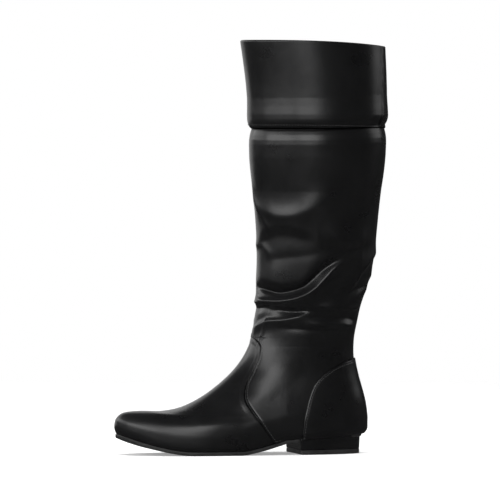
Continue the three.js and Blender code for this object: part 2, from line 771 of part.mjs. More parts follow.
// Slider in its own axes: x across the zip, y up along it, z away from the leather
function makeSlider() {
  const plate = new THREE.Shape();
  const half = sliderWidth / 2;
  const narrow = half * 0.72;
  plate.moveTo(-narrow, -sliderLength / 2);
  plate.lineTo(narrow, -sliderLength / 2);
  plate.quadraticCurveTo(half, -sliderLength / 6, half, sliderLength / 3);
  plate.quadraticCurveTo(half, sliderLength / 2, half * 0.5, sliderLength / 2);
  plate.lineTo(-half * 0.5, sliderLength / 2);
  plate.quadraticCurveTo(-half, sliderLength / 2, -half, sliderLength / 3);
  plate.quadraticCurveTo(-half, -sliderLength / 6, -narrow, -sliderLength / 2);
  const body = new THREE.ExtrudeGeometry(plate, {
    depth: wall + sliderRise,
    bevelEnabled: false,
    curveSegments: 5,
  });
  body.translate(0, 0, -wall);
  const outer = bridgeInner + bridgeBar;
  const arch = new THREE.Shape();
  arch.moveTo(-outer, -gap);
  arch.lineTo(-outer, bridgeHole + bridgeBar * 0.4);
  arch.quadraticCurveTo(-outer, bridgeHole + bridgeBar, -bridgeInner, bridgeHole + bridgeBar);
  arch.lineTo(bridgeInner, bridgeHole + bridgeBar);
  arch.quadraticCurveTo(outer, bridgeHole + bridgeBar, outer, bridgeHole + bridgeBar * 0.4);
  arch.lineTo(outer, -gap);
  arch.lineTo(bridgeInner, -gap);
  arch.lineTo(bridgeInner, bridgeHole);
  arch.lineTo(-bridgeInner, bridgeHole);
  arch.lineTo(-bridgeInner, -gap);
  arch.closePath();
  const bridge = new THREE.ExtrudeGeometry(arch, {
    depth: bridgeWidth,
    bevelEnabled: false,
    curveSegments: 4,
  });
  bridge.translate(0, 0, -bridgeWidth / 2);
  bridge.rotateZ(Math.PI / 2);
  bridge.rotateY(Math.PI / 2);
  bridge.translate(0, 0, sliderRise);
  return toSolid(body).add(toSolid(bridge));
}

// Pull tab in the slider's axes, hanging down along the zip from a cross bar under the bridge
function makePull() {
  const half = pullWidth / 2;
  const bar = pullThickness / 2;
  const holeEnd = bridgeInner + bridgeBar + 2 * pullPlay;
  const tab = new THREE.Shape();
  tab.moveTo(-half * 0.8, bar);
  tab.lineTo(half * 0.8, bar);
  tab.quadraticCurveTo(half, bar, half, -bar);
  tab.lineTo(half, -pullLength + half);
  tab.absarc(0, -pullLength + half, half, 0, -Math.PI, true);
  tab.lineTo(-half, -bar);
  tab.quadraticCurveTo(-half, bar, -half * 0.8, bar);
  const hole = new THREE.Path();
  const holeHalf = bridgeWidth / 2 + pullPlay;
  hole.moveTo(-holeHalf, -bar);
  hole.lineTo(-holeHalf, -holeEnd);
  hole.lineTo(holeHalf, -holeEnd);
  hole.lineTo(holeHalf, -bar);
  hole.closePath();
  tab.holes.push(hole);
  const geometry = new THREE.ExtrudeGeometry(tab, {
    depth: pullThickness,
    bevelEnabled: false,
    curveSegments: 6,
  });
  geometry.translate(0, 0, -pullThickness / 2);
  return toSolid(geometry);
}

const leather = { color: 0x1c1c1e, roughness: 0.45, metalness: 0 };
const rubber = { color: 0x161616, roughness: 0.7, metalness: 0 };
const lining = { color: 0x2b2a29, roughness: 0.85, metalness: 0 };
const tapeCloth = { color: 0x121213, roughness: 0.9, metalness: 0 };
const darkMetal = { color: 0x55565a, roughness: 0.3, metalness: 1 };

function meshOf(name, solid, finish) {
  const mesh = new THREE.Mesh(toGeometry(solid), new THREE.MeshStandardMaterial(finish));
  mesh.name = name;
  return mesh;
}

const boot = new THREE.Group();
boot.add(
  meshOf("upper", makeUpper(), leather),
  meshOf("heel_counter", makeCounter(), leather),
  meshOf("cuff", makeCuff(), leather),
  meshOf("outsole", makeOutsole(), rubber),
  meshOf("insole", makeInsole(), lining),
  meshOf("heel_block", makeHeel(), leather),
  meshOf("heel_top_piece", makeTopPiece(), rubber),
  meshOf("zip_tape_front", makeZipTape("front"), tapeCloth),
  meshOf("zip_tape_back", makeZipTape("back"), tapeCloth),
  meshOf("zip_coil", makeCoil(), tapeCloth),
);

const zipHead = new THREE.Group();
zipHead.applyMatrix4(sliderFrame().matrix);
const pull = meshOf("zip_pull", makePull(), darkMetal);
pull.position.z = pivotOut;
zipHead.add(meshOf("zip_slider", makeSlider(), darkMetal), pull);
boot.add(zipHead);

export default boot;
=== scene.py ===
# Knee-high slouch boot for the left foot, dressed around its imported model
import math

import bmesh
import bpy
import numpy as np
from mathutils import Matrix, Vector


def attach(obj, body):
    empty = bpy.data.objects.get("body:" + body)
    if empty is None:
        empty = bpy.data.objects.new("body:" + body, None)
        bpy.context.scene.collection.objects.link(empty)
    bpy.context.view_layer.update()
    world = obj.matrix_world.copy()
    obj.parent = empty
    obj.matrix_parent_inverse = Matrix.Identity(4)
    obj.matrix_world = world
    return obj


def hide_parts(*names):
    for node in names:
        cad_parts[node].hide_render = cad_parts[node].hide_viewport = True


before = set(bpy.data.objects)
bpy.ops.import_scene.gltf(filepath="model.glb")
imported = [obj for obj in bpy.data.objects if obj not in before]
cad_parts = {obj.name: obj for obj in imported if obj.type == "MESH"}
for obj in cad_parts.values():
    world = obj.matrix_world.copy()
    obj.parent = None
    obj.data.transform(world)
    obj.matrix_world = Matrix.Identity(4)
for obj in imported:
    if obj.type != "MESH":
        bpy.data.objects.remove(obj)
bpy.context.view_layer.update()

mm = 0.001
weldGap = 0.02 * mm  # vertices nearer than this become one

# The boot's own sizes in mm, the same as its solids have. X runs from toe to heel, -Y is the outer side.
boot = {
    "length": 264,
    "height": 424,
    "ballWidth": 91,
    "footHeight": 100,
    "collarDepth": 148,
    "collarWidth": 97,
    "collarDrop": 6.5,
    "toeSwing": 5,
    "toeSpring": 18.5,
    "heelHeight": 17.5,
    "breastHeight": 12.5,
    "heelLength": 71,
    "heelSetIn": 6.5,
    "soleThickness": 3.4,
    "treadFront": 0.285,
    "treadBack": 0.475,
    "seatLead": 0.2,
    "wall": 1.8,
    "topPiece": 4.6,
    "gap": 0.3,
}
heelBackX = boot["heelLength"] / 2 + boot["heelSetIn"]
toeTipX = heelBackX - boot["length"]
breastX = -boot["heelLength"] / 2
seatHeight = boot["heelHeight"] + boot["soleThickness"]
ankleHeight = seatHeight + boot["footHeight"]
legHeight = boot["height"] - ankleHeight
legAxisX = heelBackX - boot["length"] * 0.21


def mix(a, b, share):
    return a + (b - a) * share


def bump(value, centre, half):
    return np.exp(-(((value - centre) / half) ** 2))


def smoothStep(value, low, high):
    t = np.clip((value - low) / (high - low), 0, 1)
    return t * t * (3 - 2 * t)


def alongFoot(share):
    return toeTipX + boot["length"] * share


def soleUnder(x):
    x = np.asarray(x, float)
    front, back = alongFoot(boot["treadFront"]), alongFoot(boot["treadBack"])
    seat = breastX - boot["heelLength"] * boot["seatLead"]
    slope = (boot["heelHeight"] - boot["breastHeight"]) / boot["heelLength"]
    seatLine = boot["breastHeight"] + (x - breastX) * slope
    seatStart = boot["breastHeight"] + (seat - breastX) * slope
    toe = boot["toeSpring"] * np.clip((front - x) / (front - toeTipX), 0, 1) ** 1.7
    waist = seatStart * np.clip((x - back) / (seat - back), 0, 1) ** 1.3
    return np.where(x < front, toe, np.where(x < seat, waist, seatLine))


def soleTop(x):
    return soleUnder(x) + boot["soleThickness"]


# Sections of the foot: shares of length, foot height and ball width
footColumns = "front frontUp back backUp follow half widest nose tail waist".split()
footRows = [
    [0.007, 0.003, 0.988, 0.003, 1.0, 0.476, 0.36, 2.1, 3.2, 1.0],
    [0.001, 0.04, 0.999, 0.04, 1.0, 0.496, 0.36, 2.1, 3.2, 0.95],
    [0.0, 0.098, 1.0, 0.1, 1.0, 0.5, 0.36, 2.1, 3.2, 0.85],
    [0.009, 0.178, 1.0, 0.17, 0.95, 0.497, 0.36, 2.1, 3.2, 0.7],
    [0.04, 0.263, 0.997, 0.241, 0.88, 0.483, 0.36, 2.1, 3.3, 0.5],
    [0.105, 0.322, 0.993, 0.306, 0.78, 0.452, 0.37, 2.3, 3.6, 0.3],
    [0.184, 0.346, 0.988, 0.366, 0.68, 0.43, 0.39, 2.6, 3.6, 0.15],
    [0.252, 0.376, 0.982, 0.426, 0.58, 0.414, 0.42, 2.8, 3.4, 0.05],
    [0.312, 0.426, 0.975, 0.491, 0.48, 0.401, 0.46, 2.8, 3.1, 0],
    [0.369, 0.499, 0.967, 0.561, 0.38, 0.39, 0.5, 2.7, 2.85, 0],
    [0.422, 0.589, 0.96, 0.636, 0.28, 0.382, 0.52, 2.6, 2.6, 0],
    [0.468, 0.686, 0.953, 0.721, 0.18, 0.381, 0.53, 2.4, 2.4, 0],
    [0.503, 0.785, 0.949, 0.811, 0.08, 0.386, 0.53, 2.3, 2.3, 0],
    [0.528, 0.892, 0.949, 0.906, 0, 0.394, 0.52, 2.2, 2.2, 0],
]
# Sections of the leg: shares of leg height, collar depth and collar width
legColumns = "up front back half widest round".split()
legRows = [
    [0.004, -0.4385, 0.29, 0.377, 0.51, 2.15],
    [0.046, -0.419, 0.3075, 0.39, 0.5, 2.1],
    [0.096, -0.407, 0.33, 0.406, 0.5, 2.1],
    [0.145, -0.404, 0.361, 0.426, 0.5, 2.1],
    [0.195, -0.4035, 0.3945, 0.445, 0.5, 2.1],
    [0.261, -0.398, 0.425, 0.468, 0.5, 2.1],
    [0.344, -0.401, 0.445, 0.487, 0.5, 2.1],
    [0.442, -0.4147, 0.4653, 0.5, 0.5, 2.1],
    [0.574, -0.438, 0.4956, 0.508, 0.5, 2.1],
    [0.706, -0.442, 0.503, 0.51, 0.5, 2.1],
    [0.855, -0.464, 0.506, 0.508, 0.49, 2.05],
    [1.0, -0.504, 0.4956, 0.5, 0.48, 2.0],
]
footLevels = len(footRows)


def sectionPlaces():
    places = []
    for row in footRows:
        s = dict(zip(footColumns, row))
        ends = []
        for x, up in ((alongFoot(s["front"]), s["frontUp"]), (alongFoot(s["back"]), s["backUp"])):
            ends += [x, mix(seatHeight, float(soleTop(x)), s["follow"]) + up * boot["footHeight"]]
        half = s["half"] * boot["ballWidth"]
        places.append([*ends, s["follow"], half, s["widest"], s["nose"], s["tail"], s["waist"], 0])
    for row in legRows:
        s = dict(zip(legColumns, row))
        z = ankleHeight + s["up"] * legHeight
        frontX, backX = (legAxisX + s[end] * boot["collarDepth"] for end in ("front", "back"))
        half = s["half"] * boot["collarWidth"]
        drop = boot["collarDrop"] * s["up"] ** 3
        places.append([frontX, z, backX, z, 0, half, s["widest"], s["round"], s["round"], 0, drop])
    return np.array(places, float)


places = sectionPlaces()
topLevel = len(places) - 1


def placeAt(level):
    i = np.clip(np.floor(level).astype(int), 0, topLevel)
    t = (level - i)[..., None]
    a, b, c, d = (places[np.clip(i + k, 0, topLevel)] for k in (-1, 0, 1, 2))
    smooth = b + 0.5 * t * (c - a + t * (2 * a - 5 * b + 4 * c - d + t * (3 * (b - c) + d - a)))
    return np.moveaxis(smooth, -1, 0)


outerSide = {"ballBack": 0.01, "hollow": 0.07, "fullness": 1.03}
innerSide = {"ballBack": -0.04, "hollow": 0.2, "fullness": 0.97}
waistAt, waistHalf = 0.63, 0.15
ballX = alongFoot(0.42)


def smoothSkin(turn, level):  # turn runs from the front by the outer side, level from feather edge to collar
    turn, level = np.broadcast_arrays(np.asarray(turn, float) % 1.0, np.asarray(level, float))
    isInner = turn > 0.5
    share = (1 - np.cos(2 * np.pi * np.where(isInner, 1 - turn, turn))) / 2
    frontX, frontZ, backX, backZ, follow, half, widest, nose, tail, waist, drop = placeAt(level)
    x = mix(frontX, backX, share)
    baseLine = mix(soleTop(frontX), soleTop(backX), share)
    z = mix(frontZ, backZ, share) + follow * (soleTop(x) - baseLine) - drop * share**2.5
    side = {name: np.where(isInner, innerSide[name], outerSide[name]) for name in outerSide}
    footLike = np.sqrt(np.clip(follow, 0, 1))
    middle = widest + side["ballBack"] * footLike
    ahead = np.clip((middle - share) / middle, 0, 1) ** nose
    behind = np.clip((share - middle) / (1 - middle), 0, 1) ** tail
    wide = half * mix(1, side["fullness"], footLike)
    wide = wide * (1 - waist * side["hollow"] * bump(share, waistAt, waistHalf))
    wide = wide * np.sqrt(np.clip(1 - ahead - behind, 0, None))
    swing = boot["toeSwing"] * np.clip((ballX - x) / (ballX - toeTipX), 0, 1) ** 2
    return np.stack([x, swing + np.where(isInner, wide, -wide), z], -1)


def skinAxes(turn, level):  # steps per turn and per level along the skin, and its normal
    turn, level = np.broadcast_arrays(np.asarray(turn, float), np.asarray(level, float))
    step, rise = 0.002, 0.04
    turnwise = (smoothSkin(turn + step, level) - smoothSkin(turn - step, level)) / (2 * step)
    low, high = np.clip(level - rise, 0, topLevel), np.clip(level + rise, 0, topLevel)
    upwards = (smoothSkin(turn, high) - smoothSkin(turn, low)) / (high - low)[..., None]
    normal = np.cross(turnwise, upwards)
    return turnwise, upwards, normal / np.linalg.norm(normal, axis=-1, keepdims=True)


# Slouch creases of the leg, as (rise, width above, width below, points), all in mm. A rise below 0 is a
# trough, the widths are half ones, and a point is (degrees from the front by the outer side, height).
creases = [
    (2.1, 11, 9, [(-20, 266), (0, 261), (15, 254), (30, 248), (46, 245), (63, 247), (80, 256), (98, 272)]),
    (1.3, 4, 4, [(-8, 284), (0, 273), (10, 256), (20, 243), (30, 233), (36, 227)]),
    (0.9, 9, 4.5, [(4, 225), (22, 231), (36, 235), (50, 236), (62, 233), (80, 227)]),
    (-1.1, 4.5, 12, [(-2, 213), (22, 220), (36, 224), (50, 225), (62, 223), (76, 219), (88, 213)]),
    (1.5, 9, 5, [(86, 232), (94, 226), (104, 222), (122, 219), (146, 224)]),
    (-2.6, 5, 7, [(78, 240), (82, 226), (90, 216), (104, 211), (113, 209), (124, 210), (148, 215)]),
    (1.2, 6, 4, [(-16, 213), (4, 216), (14, 215), (24, 210), (36, 203)]),
    (-0.6, 5, 7, [(16, 198), (34, 201), (53, 203), (73, 205), (88, 209), (108, 211)]),
    (1.3, 18, 5, [(-4, 188), (20, 181), (40, 177), (58, 176), (70, 179), (78, 186), (86, 196), (100, 206)]),
    (-3.6, 4, 3, [(-14, 172), (8, 171), (30, 168), (46, 166), (60, 168), (72, 172), (80, 179), (90, 190),
        (104, 200), (116, 208)]),
    (3.2, 2.8, 8, [(-18, 163), (6, 160), (30, 158), (46, 158), (62, 160), (74, 164), (84, 171), (93, 182),
        (101, 192), (113, 200), (126, 209)]),
    (1.8, 3, 3, [(-22, 158), (2, 156), (22, 155), (40, 151), (56, 146)]),
    (-3.2, 3.5, 4, [(-22, 150), (2, 150), (30, 152), (46, 149), (66, 147), (84, 148), (104, 147)]),
    (2.2, 4, 3, [(78, 152), (94, 152), (120, 151), (140, 150), (166, 152)]),
    (2.0, 2.6, 7, [(-14, 128), (4, 129), (18, 133), (33, 137), (50, 138), (64, 140), (76, 143), (88, 146)]),
    (-2.7, 6, 5, [(68, 144), (94, 141), (111, 140), (134, 140), (152, 138), (168, 138)]),
    (1.0, 3, 3, [(80, 134), (102, 135), (123, 134), (160, 131)]),
    (-1.0, 2.4, 4, [(36, 131), (69, 130), (92, 128), (125, 127), (156, 128)]),
    (2.4, 8, 4.5, [(178, 212), (160, 205), (148, 199), (136, 189), (130, 180), (124, 171), (114, 161)]),
    (1.3, 7, 4, [(206, 182), (182, 182), (164, 184), (150, 190)]),
    (-1.7, 5, 4, [(98, 163), (112, 165), (130, 168), (146, 172), (160, 174), (174, 175)]),
    (1.5, 5, 6, [(182, 168), (172, 170), (162, 168), (150, 164), (127, 157), (111, 156), (92, 158)]),
    (0.9, 5, 5, [(24, 118), (28, 124), (31, 132), (33, 140)]),
    (-1.8, 6, 5, [(-8, 184), (-30, 178), (-52, 177), (-72, 182)]),
    (1.9, 5, 6, [(-10, 170), (-30, 164), (-52, 163), (-74, 169)]),
    (-1.9, 6, 5, [(-8, 153), (-30, 151), (-55, 152), (-76, 156)]),
    (2.0, 4, 6, [(-6, 137), (-35, 138), (-60, 140), (-78, 145)]),
    (-2.2, 7, 7, [(-14, 214), (-40, 206), (-64, 208), (-80, 214)]),
    (1.8, 8, 6, [(-14, 228), (-40, 224), (-66, 228), (-84, 236)]),
    (-2.4, 5, 5, [(-142, 150), (-160, 152), (-182, 156)]),
    (2.4, 4, 6, [(-140, 166), (-160, 163), (-185, 164)]),
    (-2.8, 5, 5, [(-140, 181), (-160, 178), (-182, 175)]),
    (2.2, 5, 7, [(-138, 196), (-160, 192), (-185, 188)]),
    (-2.0, 7, 7, [(-134, 212), (-156, 210), (-182, 214)]),
]
creaseLook = {"samples": 80, "mmPerDegree": 0.9, "fade": 0.3, "crispness": 1.6}
# The cuff rolls out over its hem and the leg is gathered into it: height and push in mm
hemRoll = [
    (378, 0), (366, 0.1), (358, 0.6), (350, 1.25), (344, 1.6), (341, 1.45), (338, 0.8), (335.5, -0.2),
    (334, -1.1), (332, -0.2), (328, 0.9), (323, 1.7), (318, 1.9), (305, 1.6), (288, 0.8), (270, 0),
]
# shadow is the half width in mm of the painted shade along the hem
hem = {"height": 334, "shadow": 1.3, "climb": 2.4, "climbFrom": 0.4, "climbTo": 0.95}  # it climbs to the back


def splineRow(points, count):  # a Catmull-Rom row through given points
    p = np.array([points[0], *points, points[-1]], float)
    t = np.linspace(0, len(points) - 1, count)
    i = np.clip(t.astype(int), 0, len(points) - 2)
    f = (t - i)[:, None]
    a, b, c, d = p[i], p[i + 1], p[i + 2], p[i + 3]
    return b + 0.5 * f * (c - a + f * (2 * a - 5 * b + 4 * c - d + f * (3 * (b - c) + d - a)))


def creaseRise(turn, z):
    look = creaseLook
    degrees = np.asarray(turn, float) * 360 % 360
    total = np.zeros(np.broadcast(degrees, z).shape)
    for rise, above, below, points in creases:
        row = splineRow(points, look["samples"])
        row = row[np.argsort(row[:, 0])]
        first, last = row[0, 0], row[-1, 0]
        slopes = np.gradient(row[:, 1], row[:, 0]) / look["mmPerDegree"]
        for lap in (-360, 0):
            at = degrees + lap
            near = (at > first) & (at < last)
            if not near.any():
                continue
            share = np.clip((at - first) / (last - first), 0, 1)
            upright = 1 / np.sqrt(1 + np.interp(at, row[:, 0], slopes) ** 2)
            away = (z - np.interp(at, row[:, 0], row[:, 1])) * upright
            half = np.where(away > 0, above, below)
            fade = smoothStep(share, 0, look["fade"]) * smoothStep(1 - share, 0, look["fade"])
            total += np.where(near, rise * fade * np.exp(-(np.abs(away) / half) ** look["crispness"]), 0)
    heights, pushes = np.array(hemRoll[::-1]).T
    return total + np.interp(z - hemClimb(turn), heights, pushes)


def hemClimb(turn):
    fromFront = (1 - np.cos(2 * np.pi * np.asarray(turn, float))) / 2
    return hem["climb"] * smoothStep(fromFront, hem["climbFrom"], hem["climbTo"])


def dressedSkin(turn, level, offset=0.0, lift=0.0):
    place = smoothSkin(turn, level)
    normal = skinAxes(turn, level)[2]
    rise = creaseRise(turn, place[..., 2]) + offset
    return place + normal * np.asarray(rise)[..., None] + np.stack([0 * rise, 0 * rise, 0 * rise + lift], -1)


# Lines on the boot in side view, as shares of its length from the toe and of the foot's height above the seat
outerVampSeam = [
    (0.524, 1.035), (0.536, 1.01), (0.551, 0.974), (0.561, 0.935), (0.564, 0.885), (0.556, 0.785),
    (0.528, 0.64), (0.502, 0.52), (0.491, 0.407), (0.495, 0.33), (0.512, 0.25), (0.54, 0.14), (0.577, 0.0),
    (0.617, -0.14),
]
innerVampSeam = [
    (0.524, 1.035), (0.537, 1.01), (0.555, 0.972), (0.572, 0.925), (0.584, 0.87), (0.586, 0.78),
    (0.574, 0.65), (0.56, 0.52), (0.552, 0.4), (0.56, 0.29), (0.585, 0.18), (0.62, 0.07), (0.66, -0.13),
]
outerCounterEdge = [
    (1.0, 0.762), (0.948, 0.757), (0.915, 0.748), (0.879, 0.719), (0.839, 0.671), (0.807, 0.612),
    (0.774, 0.536), (0.755, 0.454), (0.741, 0.36), (0.731, 0.27), (0.721, 0.17), (0.715, 0.05), (0.71, -0.06),
]
innerCounterEdge = [
    (1.0, 0.762), (0.955, 0.755), (0.92, 0.73), (0.885, 0.66), (0.85, 0.55), (0.82, 0.43), (0.795, 0.3),
    (0.775, 0.17), (0.76, 0.05), (0.752, -0.06),
]
zipLine = [
    (0.686, 0.1), (0.7, 0.165), (0.735, 0.33), (0.769, 0.545), (0.8, 0.775),
    (0.823, 1.0455), (0.842, 1.4243), (0.852, 1.7578), (0.858, 2.1275),
]


def sideLine(points, count):
    row = splineRow(points, count)
    return np.stack([alongFoot(row[:, 0]), seatHeight + row[:, 1] * boot["footHeight"]], -1)


sideSearch = {"columns": 120, "rows": 500, "rounds": 12, "turnStep": 0.001, "levelStep": 0.02}


def onSide(sidePoints, inner):  # turn and level where points of the side view lie on the skin
    def seen(turn, level):
        return smoothSkin(1 - turn if inner else turn, level)[..., [0, 2]]

    halfTurns = np.linspace(0.002, 0.498, sideSearch["columns"])
    levels = np.linspace(0, topLevel, sideSearch["rows"])
    grid = seen(*np.meshgrid(halfTurns, levels, indexing="ij"))
    found = []
    for x, z in sidePoints:
        k = np.unravel_index(np.argmin((grid[..., 0] - x) ** 2 + (grid[..., 1] - z) ** 2), grid.shape[:2])
        found.append((halfTurns[k[0]], levels[k[1]]))
    turn, level = np.array(found).T
    turnStep, levelStep = sideSearch["turnStep"], sideSearch["levelStep"]
    for _ in range(sideSearch["rounds"]):  # Newton's steps in the side view
        miss = sidePoints - seen(turn, level)
        byTurn = (seen(turn + turnStep, level) - seen(turn - turnStep, level)) / (2 * turnStep)
        higher = np.minimum(level + levelStep, topLevel)
        byLevel = (seen(turn, higher) - seen(turn, level)) / levelStep
        size = byTurn[:, 0] * byLevel[:, 1] - byTurn[:, 1] * byLevel[:, 0]
        size = np.where(np.abs(size) < 1e-6, 1e-6, size)
        turn = turn + np.clip((miss[:, 0] * byLevel[:, 1] - miss[:, 1] * byLevel[:, 0]) / size, -0.02, 0.02)
        level = level + np.clip((byTurn[:, 0] * miss[:, 1] - byTurn[:, 1] * miss[:, 0]) / size, -0.3, 0.3)
        turn, level = np.clip(turn, 0, 0.5), np.clip(level, 0, topLevel - 0.03)
    return (1 - turn if inner else turn), level


def walk(turn, level, direction, distance):  # goes along the skin from its points, square to a line
    steps = max(1, int(np.ceil(np.max(np.abs(distance)))))  # of 1 mm at most
    direction = np.array(direction, float)
    for _ in range(steps):
        turnwise, upwards, normal = skinAxes(turn, level)
        direction -= normal * (direction * normal).sum(-1, keepdims=True)
        direction /= np.linalg.norm(direction, axis=-1, keepdims=True)
        aa, bb, ab = (turnwise**2).sum(-1), (upwards**2).sum(-1), (turnwise * upwards).sum(-1)
        da, db = (turnwise * direction).sum(-1), (upwards * direction).sum(-1)
        size = aa * bb - ab**2
        turn = turn + (da * bb - db * ab) / size * distance / steps
        level = np.clip(level + (db * aa - da * ab) / size * distance / steps, 0, topLevel)
    return turn, level


def tangents(points):
    t = np.gradient(points, axis=0)
    return t / np.linalg.norm(t, axis=-1, keepdims=True)


def gridMesh(columns, rows):
    bm = bmesh.new()
    bmesh.ops.create_grid(bm, x_segments=columns, y_segments=rows, size=0.5)
    share = np.array([v.co[:2] for v in bm.verts]) + 0.5
    return bm, share[:, 0], share[:, 1]


def placeVerts(bm, points):
    for vert, point in zip(bm.verts, points * mm):
        vert.co = point


def setShade(bm, shade):  # painted shade for each vertex, from 0 to 1, in seams, grooves and under the hem; the leather reads it
    layer = bm.verts.layers.float.new("paintedShade")
    for vert, value in zip(bm.verts, shade):
        vert[layer] = float(value)


def closeLine(bm):  # joins the grid's first and last columns where they meet
    rim = [v for v in bm.verts if v.is_boundary]
    bmesh.ops.remove_doubles(bm, verts=rim, dist=weldGap)


def sealShell(bm):  # closes the poles too and turns the faces outwards
    closeLine(bm)
    bmesh.ops.remove_doubles(bm, verts=bm.verts, dist=weldGap)
    bmesh.ops.recalc_face_normals(bm, faces=bm.faces)


def finishPiece(bm, name, body, material, replaced=(), smooth=True, mods=()):
    mesh = bpy.data.meshes.new(name)
    bm.to_mesh(mesh)
    bm.free()
    for face in mesh.polygons:
        face.use_smooth = smooth
    piece = bpy.data.objects.new(name, mesh)
    bpy.context.collection.objects.link(piece)
    mesh.materials.append(material)
    for kind, values in mods:
        mod = piece.modifiers.new(kind.title(), kind)
        for key, value in values.items():
            setattr(mod, key, value)
    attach(piece, body)
    if replaced:
        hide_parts(*replaced)
    return piece


# Materials
def newMaterial(name, baseColor, **sockets):
    material = bpy.data.materials.new(name)
    material.use_nodes = True
    shader = material.node_tree.nodes["Principled BSDF"]
    shader.inputs["Base Color"].default_value = (*baseColor, 1)
    for key, value in sockets.items():
        shader.inputs[key.replace("_", " ")].default_value = value
    return material, material.node_tree.nodes, material.node_tree.links, shader


def noiseOf(nodes, links, scale, detail=3.0, roughness=0.55, stretch=(1, 1, 1)):
    coordinates = nodes.new("ShaderNodeTexCoord")
    mapping = nodes.new("ShaderNodeMapping")
    mapping.inputs["Scale"].default_value = stretch
    links.new(coordinates.outputs["Object"], mapping.inputs["Vector"])
    noise = nodes.new("ShaderNodeTexNoise")
    noise.inputs["Scale"].default_value = scale
    noise.inputs["Detail"].default_value = detail
    noise.inputs["Roughness"].default_value = roughness
    links.new(mapping.outputs["Vector"], noise.inputs["Vector"])
    return noise.outputs["Fac"]


def rangeOf(nodes, links, value, low, high, fromLow=0.3, fromHigh=0.7):
    ranged = nodes.new("ShaderNodeMapRange")
    ranged.inputs["From Min"].default_value = fromLow
    ranged.inputs["From Max"].default_value = fromHigh
    ranged.inputs["To Min"].default_value = low
    ranged.inputs["To Max"].default_value = high
    links.new(value, ranged.inputs["Value"])
    return ranged.outputs["Result"]


def colorBetween(nodes, links, value, dark, light):
    blend = nodes.new("ShaderNodeMix")
    blend.data_type = "RGBA"
    blend.inputs["A"].default_value = (*dark, 1)
    blend.inputs["B"].default_value = (*light, 1)
    links.new(value, blend.inputs["Factor"])
    return blend.outputs["Result"]


def tint(nodes, links, shader, value, dark, light):
    color = colorBetween(nodes, links, rangeOf(nodes, links, value, 0, 1), dark, light)
    links.new(color, shader.inputs["Base Color"])


def addBumps(nodes, links, shader, layers):  # layers of (height, strength, distance), finest last
    normal = None
    for height, strength, distance in layers:
        node = nodes.new("ShaderNodeBump")
        node.inputs["Strength"].default_value = strength
        node.inputs["Distance"].default_value = distance
        links.new(height, node.inputs["Height"])
        if normal:
            links.new(normal, node.inputs["Normal"])
        normal = node.outputs["Normal"]
    links.new(normal, shader.inputs["Normal"])


leatherLook = {
    "dark": (0.0035, 0.0035, 0.0038),
    "light": (0.0062, 0.0062, 0.0066),
    # colour of the painted shade in seams, grooves and under the hem
    "paintedShade": (0.0004, 0.0004, 0.0004),
    "rough": (0.26, 0.33),
    "coatRoughness": 0.22,
    "shine": 0.5,
    "patches": 26,
    "waviness": 55,
    "pores": 900,
    "grain": 800,
    "waveBump": (0.08, 0.003),  # strength, and depth in metres
    "poreBump": (0.05, 0.00012),
    "grainBump": (0.12, 0.00009),
}


def leatherMaterial(name, look, coat):
    finish = {"Coat_Weight": coat, "Coat_Roughness": look["coatRoughness"]}
    material, nodes, links, shader = newMaterial(name, look["light"], **finish)
    patches = noiseOf(nodes, links, look["patches"], 4)
    color = colorBetween(nodes, links, rangeOf(nodes, links, patches, 0, 1), look["dark"], look["light"])
    # Painted shade: this vertex attribute darkens the colour nearly to black and takes the shine and coat
    # away in seams, grooves and under the hem.
    paintedShade = nodes.new("ShaderNodeAttribute")
    paintedShade.attribute_name = "paintedShade"
    deep = paintedShade.outputs["Fac"]
    # this mix paints the shade into the leather's colour
    pitch = nodes.new("ShaderNodeMix")
    pitch.data_type = "RGBA"
    pitch.inputs["B"].default_value = (*look["paintedShade"], 1)
    links.new(deep, pitch.inputs["Factor"])
    links.new(color, pitch.inputs["A"])
    links.new(pitch.outputs["Result"], shader.inputs["Base Color"])
    links.new(rangeOf(nodes, links, deep, look["shine"], 0.0, 0, 1), shader.inputs["Specular IOR Level"])
    links.new(rangeOf(nodes, links, deep, coat, 0.0, 0, 1), shader.inputs["Coat Weight"])
    links.new(rangeOf(nodes, links, patches, *look["rough"]), shader.inputs["Roughness"])
    coordinates = nodes.new("ShaderNodeTexCoord")
    pores = nodes.new("ShaderNodeTexVoronoi")
    pores.inputs["Scale"].default_value = look["pores"]
    links.new(coordinates.outputs["Object"], pores.inputs["Vector"])
    waviness = noiseOf(nodes, links, look["waviness"], 2, 0.4)
    grain = noiseOf(nodes, links, look["grain"], 2)
    layers = [
        (waviness, *look["waveBump"]),
        (pores.outputs["Distance"], *look["poreBump"]),
        (grain, *look["grainBump"]),
    ]
    addBumps(nodes, links, shader, layers)
    return material


def clothMaterial(name, dark, light, scale, rough):  # crossed ribs, as in a knitted or woven cloth
    material, nodes, links, shader = newMaterial(name, light, Roughness=rough, Sheen_Weight=0.35)
    shader.inputs["Sheen Roughness"].default_value = 0.5
    coordinates = nodes.new("ShaderNodeTexCoord")
    ribs = []
    for direction in ("X", "Z"):
        wave = nodes.new("ShaderNodeTexWave")
        wave.bands_direction = direction
        wave.inputs["Scale"].default_value = scale
        wave.inputs["Distortion"].default_value = 0.6
        wave.inputs["Detail"].default_value = 1
        links.new(coordinates.outputs["Object"], wave.inputs["Vector"])
        ribs.append(wave.outputs["Fac"])
    weave = nodes.new("ShaderNodeMath")
    weave.operation = "MULTIPLY"
    links.new(ribs[0], weave.inputs[0])
    links.new(ribs[1], weave.inputs[1])
    fuzz = noiseOf(nodes, links, 60, 4)
    tint(nodes, links, shader, fuzz, dark, light)
    fibres = noiseOf(nodes, links, 1800, 2)
    addBumps(nodes, links, shader, [(weave.outputs["Value"], 0.5, 0.0003), (fibres, 0.3, 0.0001)])
    return material


